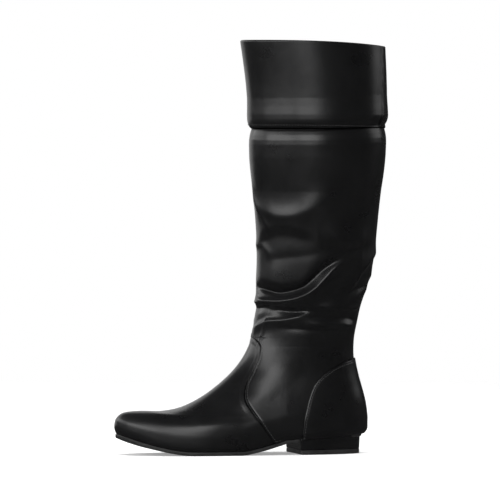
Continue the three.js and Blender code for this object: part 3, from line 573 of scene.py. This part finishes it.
def rubberMaterial(name, dark, light, rough):
    material, nodes, links, shader = newMaterial(name, light)
    dust = noiseOf(nodes, links, 90, 5, 0.65)
    tint(nodes, links, shader, dust, dark, light)
    links.new(rangeOf(nodes, links, dust, *rough), shader.inputs["Roughness"])
    addBumps(nodes, links, shader, [(noiseOf(nodes, links, 700, 3), 0.25, 0.00015)])
    return material


def metalMaterial(name, color, rough):
    material, nodes, links, shader = newMaterial(name, color, Metallic=1.0)
    haze = noiseOf(nodes, links, 240, 4)
    tint(nodes, links, shader, haze, tuple(0.72 * c for c in color), color)
    links.new(rangeOf(nodes, links, haze, *rough), shader.inputs["Roughness"])
    brushing = noiseOf(nodes, links, 500, 2, 0.5, (1, 1, 6))
    addBumps(nodes, links, shader, [(brushing, 0.06, 0.0001)])
    return material


leather = leatherMaterial("smoothLeather", leatherLook, 0.12)
heelLeather = leatherMaterial("heelLeather", {**leatherLook, "rough": (0.2, 0.28), "waviness": 20}, 0.3)
lining = clothMaterial("knitLining", (0.012, 0.012, 0.012), (0.028, 0.027, 0.026), 420, 0.85)
tapeCloth = clothMaterial("zipTapeCloth", (0.008, 0.008, 0.008), (0.02, 0.02, 0.021), 700, 0.8)
soleRubber = rubberMaterial("soleRubber", (0.012, 0.012, 0.012), (0.03, 0.03, 0.03), (0.45, 0.62))
heelRubber = rubberMaterial("heelRubber", (0.011, 0.011, 0.011), (0.026, 0.026, 0.026), (0.5, 0.66))
thread = rubberMaterial("stitchThread", (0.035, 0.035, 0.035), (0.08, 0.08, 0.082), (0.35, 0.5))
coilPlastic = rubberMaterial("zipCoil", (0.012, 0.012, 0.012), (0.028, 0.028, 0.03), (0.28, 0.4))
darkNickel = metalMaterial("darkNickel", (0.22, 0.22, 0.235), (0.18, 0.34))
print("materials ready")

# Seams as rows of turn and level, from the top down, and the zip's line from the foot up
outerSeam = onSide(sideLine(outerVampSeam, 160), False)
innerSeam = onSide(sideLine(innerVampSeam, 160), True)
outerCounter = onSide(sideLine(outerCounterEdge, 160), False)
innerCounter = onSide(sideLine(innerCounterEdge, 160), True)
zipTurn, zipLevel = onSide(sideLine(zipLine, 240), True)


def turnAtLevel(line, level, topTurn):  # the line's turn at each level, and topTurn above its top
    turn, height = line
    order = np.argsort(height)
    heights = np.append(height[order], height.max() + 0.12)
    return np.interp(level, heights, np.append(turn[order], topTurn))


def gathered(u, gather):  # moves evenly spaced columns towards both ends
    return u - gather * np.sin(2 * np.pi * u) / (2 * np.pi)


def gridRows(u, count):  # each vertex's row or column as a whole number
    return np.rint(u * count).astype(int)


def distanceTo(points, line, limit=400):
    best = np.full(len(points), np.inf)
    for start in range(0, len(line), limit):
        gaps = np.linalg.norm(points[:, None] - line[None, start:start + limit], axis=-1)
        best = np.minimum(best, gaps.min(1))
    return best


vampSeamPlaces = np.concatenate([smoothSkin(*outerSeam), smoothSkin(*innerSeam)])
seamTop = max(outerSeam[1].max(), innerSeam[1].max())
print("seams found")

# The quarters and the leg are one sheet, with a wall of leather along the vamp's seam
upperLook = {
    "columns": 264,
    "rows": 330,
    "rowShares": [0, 0.16, 0.2, 0.34, 0.75, 0.9, 0.97, 1],
    "rowLevels": [0, 11.6, 12.25, 12.85, 21.2, 22.55, 23.05, topLevel - 0.4],
    "gather": 0.7,
    "gatherEnd": (10.6, 12.6),  # levels between which the columns spread evenly again
    "wall": 0.95,
    "edgeLift": 0.22,
    "edgeWidth": 1.1,
    "stitchDip": 0.22,
    "stitchBack": 2.0,
    "stitchWidth": 0.75,
    "seamEnd": (12.3, 12.8),  # levels between which the seam's relief fades
    "weld": 0.03,
    "slotHalf": 5.0,
}


def makeQuarters():
    look = upperLook
    bm, u, v = gridMesh(look["columns"], look["rows"])
    level = np.interp(v, look["rowShares"], look["rowLevels"])
    start = turnAtLevel(outerSeam, level, 0.0)
    end = turnAtLevel(innerSeam, level, 1.0)
    column = gridRows(u, look["columns"])
    isWall = ((column == 0) | (column == look["columns"])) & (level < seamTop)
    u = np.clip((column - 1) / (look["columns"] - 2), 0, 1)
    turn = mix(start, end, mix(gathered(u, look["gather"]), u, smoothStep(level, *look["gatherEnd"])))
    place = smoothSkin(turn, level)
    behind = distanceTo(place, vampSeamPlaces)
    seamLift = look["edgeLift"] * bump(behind, 0, look["edgeWidth"])
    seamLift -= look["stitchDip"] * bump(behind, look["stitchBack"], look["stitchWidth"])
    seamLift *= 1 - smoothStep(level, *look["seamEnd"])
    placeVerts(bm, dressedSkin(turn, level, np.where(isWall, -look["wall"], seamLift)))
    # Painted shade: the seam's wall is painted fully dark, and a band along the cuff's hem gets painted
    # shadow.
    fromHem = np.abs(place[..., 2] - hemClimb(turn) - hem["height"])
    setShade(bm, np.where(isWall, 1, bump(fromHem, 0, hem["shadow"])))
    bmesh.ops.remove_doubles(bm, verts=bm.verts, dist=look["weld"] * mm)
    cutSlot(bm, look["slotHalf"])
    return finishPiece(bm, "quartersAndLeg", "boot", leather, ["upper"])


def cutSlot(bm, half):  # opens the leather along the zip, with its edges on one smooth line
    reach, soleClear = 4, 10  # mm from the slot and above the floor, so that other rims stay
    line = dressedSkin(zipTurn, zipLevel)
    points = np.array([v.co for v in bm.verts]) / mm
    near = distanceTo(points, line)
    inside = [v for v, d in zip(bm.verts, near) if d < half]
    bmesh.ops.delete(bm, geom=inside, context="VERTS")
    for vert in [v for v in bm.verts if v.is_boundary]:
        point = np.array(vert.co) / mm
        gaps = np.linalg.norm(line - point, axis=1)
        nearest = int(gaps.argmin())
        if gaps[nearest] < half + reach and point[2] > soleClear:
            away = (point - line[nearest]) / gaps[nearest]
            vert.co = Vector((line[nearest] + away * half) * mm)


# The vamp goes on under the quarters by its tuck, and their seam allowance shows through it as a ridge
vampLook = {
    "columns": 260,
    "rows": 130,
    "gather": 0.6,
    "tuck": 5.0,
    "topTuck": 0.06,
    "topTuckFrom": 12.0,
    "topLap": 0.2,
    "low": 0.9,  # below the quarters
    "ridge": 0.5,
    "ridgeSpan": (4.0, 7.4),  # mm from the seam between which it falls off
    "grooves": (0.15, 0.85),  # depth near the sole and further up
    "tuckDrop": 0.9,
    "strongFrom": (16, 42),  # mm above the seat
}


def makeVamp():
    look = vampLook
    bm, u, v = gridMesh(look["columns"], look["rows"])
    top = seamTop + look["topLap"]
    level = mix(0, top, v)
    start = turnAtLevel(innerSeam, level, 1.0) - 1
    end = turnAtLevel(outerSeam, level, 0.0)
    girth = np.linalg.norm(skinAxes(np.full(level.shape, 0.25), level)[0], axis=-1)
    margin = look["tuck"] / girth + smoothStep(level, look["topTuckFrom"], top) * look["topTuck"]
    turn = mix(start - margin, end + margin, gathered(u, look["gather"]))
    place = smoothSkin(turn, level)
    away = distanceTo(place, vampSeamPlaces)
    ahead = (turn > start) & (turn < end)
    strong = smoothStep(place[..., 2] - seatHeight, *look["strongFrom"])  # the seam flattens near the sole
    ridge = strong * look["ridge"] * (1 - smoothStep(away, *look["ridgeSpan"]))
    tucked = strong * look["ridge"] * (1 - smoothStep(away, 0, 1.5))
    offset = np.where(ahead, ridge, tucked) - look["low"] - mix(*look["grooves"], strong) * bump(away, 0, 1.0)
    offset -= look["tuckDrop"] * smoothStep(np.where(ahead, 0, away), 0, 2.5)
    placeVerts(bm, dressedSkin(turn, level, offset))
    # Painted shade along the vamp's seam under the quarters' edge, stronger higher up.
    setShade(bm, mix(0.55, 1.0, strong) * bump(away, 0, mix(0.8, 1.2, strong)))
    return finishPiece(bm, "vamp", "boot", leather, ["upper"])


liningLook = {"columns": 120, "rows": 110, "depth": 1.95, "thickness": 0.35, "slotHalf": 11.0}


def makeLining():
    look = liningLook
    bm, u, v = gridMesh(look["columns"], look["rows"])
    level = mix(0.25, topLevel - 0.05, v)
    placeVerts(bm, dressedSkin(u, level, -look["depth"]))
    closeLine(bm)
    cutSlot(bm, look["slotHalf"])
    solid = {"thickness": look["thickness"] * mm, "offset": -1.0, "use_even_offset": False}
    return finishPiece(bm, "lining", "boot", lining, mods=[("SOLIDIFY", solid)])


cuffLook = {
    "columns": 200,
    "from": 334.6,
    "inside": 14,
    "thickness": 1.3,
    "hem": 0.55,  # it is thinned where it is sewn down
    "seamAt": (157, 145),  # degrees at the rim and at the hem
    "seamStep": 0.55,
    # seamShadow is the width of the painted shadow along the back seam's lap
    "seamShadow": 0.0022,
}


def levelAtHeight(height):
    levels = np.linspace(footLevels, topLevel, 400)
    return float(np.interp(height, smoothSkin(0.25, levels)[:, 2], levels))


def cuffProfile():  # from inside the hem up, over the rim and down inside, as rows of level, offset and lift
    look = cuffLook
    low = levelAtHeight(look["from"])
    deep = levelAtHeight(boot["height"] - look["inside"])
    out = boot["gap"] + look["thickness"]
    within = -boot["wall"] - boot["gap"]
    edge = look["hem"]
    profile = [(low, -1.2, 1.2), (low, -0.6, 0.1), (low, 0.1, -0.25), (low, edge, 0.05)]
    profile.append((low + 0.03, edge + 0.35, 0))
    for t in np.linspace(0, 1, 72):
        profile.append((mix(low + 0.07, topLevel, t), mix(edge + 0.6, out, min(1, t * 8)), 0))
    profile += [(topLevel, out - 0.05, 0.7), (topLevel, out - 0.5, 1.25), (topLevel, 0.4, 1.55)]
    profile += [(topLevel, -1.0, 1.6), (topLevel, within - 0.5, 1.4), (topLevel, within - 1.2, 0.8)]
    for t in np.linspace(0, 1, 10):
        profile.append((mix(topLevel, deep, t), within - look["thickness"], 0))
    profile += [(deep, within - 0.6, -0.5), (deep, within, 0)]
    return np.array(profile)


def makeCuff():
    look = cuffLook
    profile = cuffProfile()
    bm, u, v = gridMesh(look["columns"], len(profile) - 1)
    row = gridRows(v, len(profile) - 1)
    level, offset, lift = profile[row].T
    share = (smoothSkin(u, level)[..., 2] - look["from"]) / (boot["height"] - look["from"])
    share = np.clip(share, 0, 1)
    seam = mix(look["seamAt"][1], look["seamAt"][0], share) / 360
    lap = look["seamStep"] * smoothStep(u - seam, -0.0035, 0.0015) * (1 - smoothStep(u - seam, 0.05, 0.075))
    outside = offset > 0.8
    lift = lift + hemClimb(u) * (1 - share) ** 2
    placeVerts(bm, dressedSkin(u, level, offset + np.where(outside, lap, 0), lift))
    # Painted shade: the rows turned in under the hem are fully dark, and a line of shadow is painted along
    # the back seam's lap.
    setShade(bm, np.where(row < 4, 1.0, 0.0) + 0.8 * bump(u, seam, look["seamShadow"]) * outside)
    closeLine(bm)
    return finishPiece(bm, "cuffBand", "boot", leather, ["cuff"])


counterLook = {
    "columns": 150,
    "rows": 84,
    "gather": 0.6,
    "thickness": 1.3,
    "embed": 0.15,
    "edgeRound": 0.5,
    "stitchDip": 0.18,
    "stitchBack": 2.2,
}


def makeCounter():
    look = counterLook
    top = min(outerCounter[1].max(), innerCounter[1].max())
    bm, u, v = gridMesh(look["columns"], look["rows"])
    level = mix(0, top, np.sin(v * np.pi / 2) ** 1.15)
    start = turnAtLevel(outerCounter, level, 0.5)
    end = turnAtLevel(innerCounter, level, 0.5)
    turn = mix(start, end, gathered(u, look["gather"]))
    edges = np.concatenate([smoothSkin(*outerCounter), smoothSkin(*innerCounter)])
    away = distanceTo(smoothSkin(turn, level), edges)
    offset = boot["gap"] + look["thickness"] - look["edgeRound"] * bump(away, 0, 0.8)
    offset -= look["stitchDip"] * bump(away, look["stitchBack"], 0.7)
    placeVerts(bm, dressedSkin(turn, level, offset))
    solid = {"thickness": (look["thickness"] + look["embed"]) * mm, "offset": -1.0, "use_even_offset": False}
    solidify = [("SOLIDIFY", solid)]
    return finishPiece(bm, "counter", "boot", leather, ["heel_counter"], mods=solidify)


def laidStrip(line, side, profile, count):  # a closed strip beside a line of the skin
    keep = np.linspace(0, len(line[0]) - 1, count)
    turn, level = (np.interp(keep, np.arange(len(line[0])), part) for part in line)
    across = np.cross(skinAxes(turn, level)[2], tangents(smoothSkin(turn, level))) * side
    rows = []
    for distance, offset in profile:
        t, k = walk(turn, level, across, distance) if distance else (turn, level)
        rows.append(dressedSkin(t, k, offset))
    bm, u, v = gridMesh(count - 1, len(profile) - 1)
    placeVerts(bm, np.array(rows)[gridRows(v, len(profile) - 1), gridRows(u, count - 1)])
    closeLine(bm)
    bmesh.ops.holes_fill(bm, edges=[e for e in bm.edges if e.is_boundary])
    bmesh.ops.recalc_face_normals(bm, faces=bm.faces)
    return bm


def joined(parts):
    whole = bmesh.new()
    for part in parts:
        mesh = bpy.data.meshes.new("part")
        part.to_mesh(mesh)
        part.free()
        whole.from_mesh(mesh)
        bpy.data.meshes.remove(mesh)
    return whole


# Cross-sections along the zip, as distance from its middle and offset from the skin
zipLook = {
    "tape": [
        (0.2, -2.1), (6, -2.1), (11.6, -2.1), (12, -2.4), (11.6, -2.8), (6, -2.8), (0.2, -2.8), (0.2, -2.1),
    ],
    "facing": [
        (4.4, -1.2), (4.35, 0.1), (4.6, 0.5), (5.2, 0.62), (7.2, 0.58), (8.0, 0.45), (8.8, 0.55),
        (11.2, 0.5), (11.8, 0.3), (12.0, -0.1), (11.8, -0.5), (4.4, -1.2),
    ],
    "core": [
        (0.0, -1.35), (1.9, -1.35), (2.5, -1.6), (1.9, -1.75), (0.0, -1.75),
        (-1.9, -1.75), (-2.5, -1.6), (-1.9, -1.35), (0.0, -1.35),
    ],
    "tapeSteps": 150,
    "facingSteps": 170,
    "coreSteps": 120,
    "coilPitch": 1.5,
    "coilBack": 0.95,
    "coilDepth": 1.0,
    "tooth": (0.42, 1.5, 0.62),
    "coilEnd": 0.945,
}


def makeZip():
    line = (zipTurn, zipLevel)
    for name, side, node in (("tapeFront", 1, "zip_tape_front"), ("tapeBack", -1, "zip_tape_back")):
        tape = laidStrip(line, side, zipLook["tape"], zipLook["tapeSteps"])
        finishPiece(tape, name, "boot", tapeCloth, [node])
    shown = (zipTurn[4:], zipLevel[4:])
    strips = [laidStrip(shown, side, zipLook["facing"], zipLook["facingSteps"]) for side in (1, -1)]
    finishPiece(joined(strips), "zipFacing", "boot", leather)


def stitchRow(line, pitch, back, side, offset, size):  # small ovals in a row beside a line of the skin
    turn, level = line
    if back:
        across = np.cross(skinAxes(turn, level)[2], tangents(smoothSkin(turn, level))) * side
        turn, level = walk(turn, level, across, back)
    row = dressedSkin(turn, level, offset)
    lengths = np.concatenate([[0], np.cumsum(np.linalg.norm(np.diff(row, axis=0), axis=1))])
    at = np.arange(pitch / 2, lengths[-1], pitch)

    def spaced(values):
        return np.stack([np.interp(at, lengths, values[:, k]) for k in range(3)], -1)

    centre = spaced(row)
    bm = bmesh.new()
    for c, t, n in zip(centre, tangents(centre), spaced(skinAxes(turn, level)[2])):
        n = n / np.linalg.norm(n)
        axes = Matrix(np.column_stack([t * size[0], np.cross(n, t) * size[1], n * size[2], c]))
        matrix = Matrix.Scale(mm, 4) @ axes.to_4x4()
        bmesh.ops.create_uvsphere(bm, u_segments=6, v_segments=4, radius=1, matrix=matrix)
    return bm


stitchLook = {
    "size": (1.05, 0.3, 0.22),
    "pitch": 2.9,
    "proud": 0.02,
    "facingBack": 8.0,
    "facingOffset": 0.5,
    "cuffPitch": 3.0,
    "cuffUp": 3.4,
    "ringSteps": 400,
}


def makeStitches():
    look = stitchLook
    pitch, proud, size = look["pitch"], look["proud"], look["size"]
    counterBack = counterLook["stitchBack"]
    counterOut = counterLook["thickness"] + 0.2
    seams = []
    for seam, side in ((outerSeam, 1), (innerSeam, -1)):
        seams.append(stitchRow(seam, pitch, upperLook["stitchBack"], side, proud, size))
    for seam, side in ((outerCounter, 1), (innerCounter, -1)):
        seams.append(stitchRow(seam, pitch, counterBack, side, counterOut, size))
    facing = (zipTurn[6:-4], zipLevel[6:-4])
    for side in (1, -1):
        seams.append(stitchRow(facing, pitch, look["facingBack"], side, look["facingOffset"], size))
    height = levelAtHeight(cuffLook["from"] + look["cuffUp"])
    ring = (np.linspace(0, 1, look["ringSteps"]), np.full(look["ringSteps"], height))
    cuffOut = boot["gap"] + cuffLook["thickness"] + proud
    seams.append(stitchRow(ring, look["cuffPitch"], 0, 1, cuffOut, size))
    return finishPiece(joined(seams), "seamStitches", "boot", thread)


def makeCoil():
    look = zipLook
    end = int(len(zipTurn) * look["coilEnd"])
    line = (zipTurn[3:end], zipLevel[3:end])
    pitch, back, depth = look["coilPitch"], look["coilBack"], look["coilDepth"]
    rows = [stitchRow(line, pitch, back, side, -depth, look["tooth"]) for side in (1, -1)]
    rows.append(laidStrip(line, 1, look["core"], look["coreSteps"]))
    return finishPiece(joined(rows), "zipTeeth", "boot", coilPlastic, ["zip_coil"])


# The zip's metal keeps its solids' shape, with rounded edges
metalLook = {
    "zip_slider": {"name": "slider", "body": "boot", "round": 0.28},
    "zip_pull": {"name": "pullTab", "body": "pull", "round": 0.25},
}
flatWithin, sharpOver = math.radians(3), math.radians(40)


def makeZipMetal():
    for node, look in metalLook.items():
        bm = bmesh.new()
        bm.from_mesh(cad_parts[node].data)
        bmesh.ops.remove_doubles(bm, verts=bm.verts, dist=0.01 * mm)
        bmesh.ops.dissolve_limit(bm, angle_limit=flatWithin, verts=bm.verts, edges=bm.edges)
        sharp = [e for e in bm.edges if e.is_manifold and e.calc_face_angle() > sharpOver]
        bmesh.ops.bevel(
            bm, geom=sharp, offset=look["round"] * mm, offset_type="OFFSET", segments=2, profile=0.5,
            affect="EDGES", clamp_overlap=True, material=-1,
        )
        finishPiece(bm, look["name"], look["body"], darkNickel, [node], False)


# The sole's rows run from the middle of its underside over its edge to the middle of its top
soleLook = {"columns": 360, "round": 1.1, "serration": 0.35, "teeth": 150, "teethTo": 0.5, "seatInset": 1.6}


def makeOutsole():
    look = soleLook
    thick = boot["soleThickness"]
    profile = [(share, -look["round"], 0.0) for share in (0, 0.25, 0.5, 0.72, 0.86, 0.94, 1)]
    profile += [(1, -0.33, 0.3), (1, -0.05, 0.8), (1, 0, 1.3), (1, -0.12, 1.75), (1, 0, 2.2)]
    profile += [(1, 0, thick - 0.6), (1, -0.2, thick + 0.2), (1, -0.8, thick + 0.5), (1, -1.8, thick)]
    profile += [(share, -1.8, thick) for share in (0.94, 0.8, 0.5, 0.2, 0)]
    profile = np.array(profile)
    bm, u, v = gridMesh(look["columns"], len(profile) - 1)
    share, grow, rise = profile[gridRows(v, len(profile) - 1)].T
    x = soleEdge(u, grow)[:, 0]
    grow = grow - look["seatInset"] * smoothStep(x, breastX - 3, breastX)
    toothed = (rise > 0.1) & (rise < 1.5) & (x < alongFoot(look["teethTo"]))
    tooth = 0.5 + 0.5 * np.sign(np.sin(2 * np.pi * look["teeth"] * u))
    edge = soleEdge(u, grow - np.where(toothed, look["serration"] * tooth, 0))
    middle = 0.5 * (edge[:, 1] + soleEdge(1 - u, grow)[:, 1])
    y = mix(middle, edge[:, 1], share)
    placeVerts(bm, np.stack([edge[:, 0], y, soleUnder(edge[:, 0]) + rise], -1))
    sealShell(bm)
    return finishPiece(bm, "outsoleRubber", "boot", soleRubber, ["outsole"])


def soleEdge(turn, grow):  # the feather edge's plan outline, grown outwards
    place = smoothSkin(turn, 0 * turn)
    along = skinAxes(turn, 0 * turn)[0]
    size = np.hypot(along[..., 0], along[..., 1])
    x = place[..., 0] + along[..., 1] / size * grow
    return np.stack([x, place[..., 1] - along[..., 0] / size * grow], -1)


heelLook = {"backSteps": 90, "breastSteps": 40, "hollow": 2.4, "taper": 0.8, "lap": 0.5}


def heelOutline(inset):  # closed plan outline: round the back, then the hollow breast
    look = heelLook
    turns = np.linspace(0, 1, 1600)
    turns = turns[soleEdge(turns, 0 * turns)[:, 0] > breastX]
    row = np.linspace(turns.min(), turns.max(), look["backSteps"])
    ring = soleEdge(row, 0 * row)
    squeeze = boot["heelLength"] / (ring[:, 0].max() - breastX)
    x = breastX + (ring[:, 0] - breastX) * squeeze
    scale = 1 - 2 * inset / boot["ballWidth"]
    back = np.stack([np.where(x > 0, x - inset * x / (boot["heelLength"] / 2), x), ring[:, 1] * scale], -1)
    back[0, 0] = back[-1, 0] = breastX + inset
    t = np.linspace(0, 1, look["breastSteps"])[:, None]
    a, b = back[-1], back[0]
    middle = np.array([breastX + inset + look["hollow"], (a[1] + b[1]) / 2])
    breast = (1 - t) ** 2 * a + 2 * t * (1 - t) * middle + t**2 * b
    return np.concatenate([back, breast[1:]])


def loftHeel(profile, name, material, node, heightOf):
    profile = np.array(profile)
    outlines = [heelOutline(inset) for inset in profile[:, 0]]
    count = len(outlines[0])
    bm, u, v = gridMesh(count - 1, len(profile) - 1)
    j = gridRows(v, len(profile) - 1)
    plan = np.array(outlines)[j, gridRows(u, count - 1)]
    placeVerts(bm, np.column_stack([plan, heightOf(plan[:, 0], profile[j, 1])]))
    closeLine(bm)
    bmesh.ops.holes_fill(bm, edges=[e for e in bm.edges if e.is_boundary])
    bmesh.ops.recalc_face_normals(bm, faces=bm.faces)
    piece = finishPiece(bm, name, "boot", material, [node])
    piece.modifiers.new("Weighted", "WEIGHTED_NORMAL")
    return piece


def makeHeel():
    taper, low = heelLook["taper"], boot["topPiece"]

    def wrapHeight(x, share):
        return mix(low + boot["gap"] * 0.5, soleTop(x) + heelLook["lap"], share)

    def liftHeight(x, share):
        return share * low + 0 * x

    wrap = [(taper + 0.3, 0), (taper + 0.05, 0.02), (taper, 0.06), (taper * 0.5, 0.5)]
    wrap += [(0.05, 0.95), (0.25, 1), (1.4, 1)]
    loftHeel(wrap, "heelWrap", heelLeather, "heel_block", wrapHeight)
    lift = [(taper + 0.6, 0), (taper + 0.15, 0.04), (taper, 0.15), (taper, 0.86)]
    lift += [(taper + 0.15, 0.97), (taper + 0.5, 1)]
    loftHeel(lift, "heelTopRubber", heelRubber, "heel_top_piece", liftHeight)


# Rows of the sock: share of the way to its edge, and rise above the sole
sockLook = {
    "columns": 240,
    "inset": boot["wall"] + 2 * boot["gap"],
    "rows": [(0, 0), (0.6, 0), (1, 0), (1, 1.6), (0.985, 2.2), (0.96, 2.5), (0.8, 2.6), (0.4, 2.6), (0, 2.6)],
}


def makeSockLining():
    look = sockLook
    profile = np.array(look["rows"], float)
    bm, u, v = gridMesh(look["columns"], len(profile) - 1)
    share, rise = profile[gridRows(v, len(profile) - 1)].T
    inset = np.full(u.shape, -look["inset"])
    edge = soleEdge(u, inset)
    middle = 0.5 * (edge[:, 1] + soleEdge(1 - u, inset)[:, 1])
    y = mix(middle, edge[:, 1], share)
    placeVerts(bm, np.stack([edge[:, 0], y, soleTop(edge[:, 0]) + boot["gap"] + rise], -1))
    sealShell(bm)
    return finishPiece(bm, "sockLining", "boot", lining, ["insole"])


makeQuarters()
makeVamp()
print("upper leather laid")
makeLining()
makeCuff()
makeCounter()
print("cuff and counter laid")
makeZip()
makeCoil()
makeZipMetal()
makeStitches()
print("zip and stitches laid")
makeOutsole()
makeHeel()
makeSockLining()
print("sole and heel made")

# Camera, floor and light
view = {
    "turn": 12.3,  # degrees that the toe is turned towards the camera
    "distance": 7.5,
    "eyeHeight": 0.37,
    "aim": (-0.0783, 0.2093),  # right of the origin and above the floor
    "frameWidth": 0.5155,
    "sensor": 36,
}


def makeCamera():
    turn = math.radians(view["turn"])
    right = Vector((math.cos(turn), -math.sin(turn), 0))
    aim = right * view["aim"][0] + Vector((0, 0, view["aim"][1]))
    rise = math.asin((view["eyeHeight"] - view["aim"][1]) / view["distance"])
    back = Vector((-math.sin(turn) * math.cos(rise), -math.cos(turn) * math.cos(rise), math.sin(rise)))
    data = bpy.data.cameras.new("camera")
    data.sensor_width = view["sensor"]
    data.lens = view["sensor"] * view["distance"] / view["frameWidth"]
    camera = bpy.data.objects.new("camera", data)
    camera.location = aim + back * view["distance"]
    camera.rotation_euler = (aim - camera.location).to_track_quat("-Z", "Y").to_euler()
    bpy.context.collection.objects.link(camera)
    bpy.context.scene.camera = camera


lights = [  # name, place, aim, size in metres, watts, shown in reflections
    ("floorLight", (-0.1, 0.0, 2.6), (-0.1, 0, 0), (3.0, 3.0), 110, False),
    ("leftSoft", (-1.9, 1.0, 0.95), (0, 0, 0.2), (2.2, 0.8), 9, True),
    ("frontLeftSoft", (-1.85, -1.19, 0.95), (0, 0, 0.2), (2.4, 0.8), 20, True),
    ("frontSoft", (-0.42, -2.16, 0.95), (0, 0, 0.2), (1.1, 0.8), 10, True),
    ("backSoft", (2.05, 0.25, 0.95), (0, 0, 0.15), (1.1, 1.0), 3.5, True),
    ("backdrop", (-0.6, 2.4, 0.8), (-0.1, 0, 0.7), (2.6, 1.6), 9, True),
]


def makeLights():
    for name, place, aim, size, power, inReflections in lights:
        data = bpy.data.lights.new(name, "AREA")
        data.shape = "RECTANGLE"
        data.size, data.size_y = size
        data.energy = power
        lamp = bpy.data.objects.new(name, data)
        lamp.location = place
        lamp.rotation_euler = (Vector(aim) - Vector(place)).to_track_quat("-Z", "Y").to_euler()
        lamp.visible_camera = False
        lamp.visible_glossy = inReflections
        bpy.context.collection.objects.link(lamp)


studio = {
    "radius": 2.0,
    "albedo": 0.86,
    "roughness": 0.7,
    "glow": 0.3,
    "fade": (0.8, 1.9),  # metres from the boot between which the floor fades into the white
    "worldLight": 0.04,
}


def makeFloor():
    look = studio
    bm = bmesh.new()
    bmesh.ops.create_circle(bm, cap_ends=True, segments=96, radius=look["radius"])
    mesh = bpy.data.meshes.new("floor")
    bm.to_mesh(mesh)
    bm.free()
    floor = bpy.data.objects.new("floor", mesh)
    bpy.context.collection.objects.link(floor)
    floor.visible_glossy = False
    finish = {"Roughness": look["roughness"], "Emission_Strength": look["glow"]}
    material, nodes, links, shader = newMaterial("paleFloor", (look["albedo"],) * 3, **finish)
    shader.inputs["Emission Color"].default_value = (1, 1, 1, 1)
    clear = nodes.new("ShaderNodeBsdfTransparent")
    blend = nodes.new("ShaderNodeMixShader")
    coordinates = nodes.new("ShaderNodeTexCoord")
    length = nodes.new("ShaderNodeVectorMath")
    length.operation = "LENGTH"
    links.new(coordinates.outputs["Object"], length.inputs[0])
    links.new(rangeOf(nodes, links, length.outputs["Value"], 0, 1, *look["fade"]), blend.inputs["Fac"])
    links.new(shader.outputs["BSDF"], blend.inputs[1])
    links.new(clear.outputs["BSDF"], blend.inputs[2])
    links.new(blend.outputs["Shader"], nodes["Material Output"].inputs["Surface"])
    mesh.materials.append(material)


def makeWorld():  # white to the camera, and nearly dark as a light
    world = bpy.data.worlds.new("studio")
    bpy.context.scene.world = world
    world.use_nodes = True
    nodes, links = world.node_tree.nodes, world.node_tree.links
    shown = nodes["Background"]
    shown.inputs["Color"].default_value = (1, 1, 1, 1)
    dim = nodes.new("ShaderNodeBackground")
    dim.inputs["Color"].default_value = (studio["worldLight"],) * 3 + (1,)
    path = nodes.new("ShaderNodeLightPath")
    choose = nodes.new("ShaderNodeMixShader")
    links.new(path.outputs["Is Camera Ray"], choose.inputs["Fac"])
    links.new(dim.outputs["Background"], choose.inputs[1])
    links.new(shown.outputs["Background"], choose.inputs[2])
    links.new(choose.outputs["Shader"], nodes["World Output"].inputs["Surface"])
    bpy.context.scene.view_settings.view_transform = "Standard"


makeCamera()
makeLights()
makeFloor()
makeWorld()
print("studio ready")
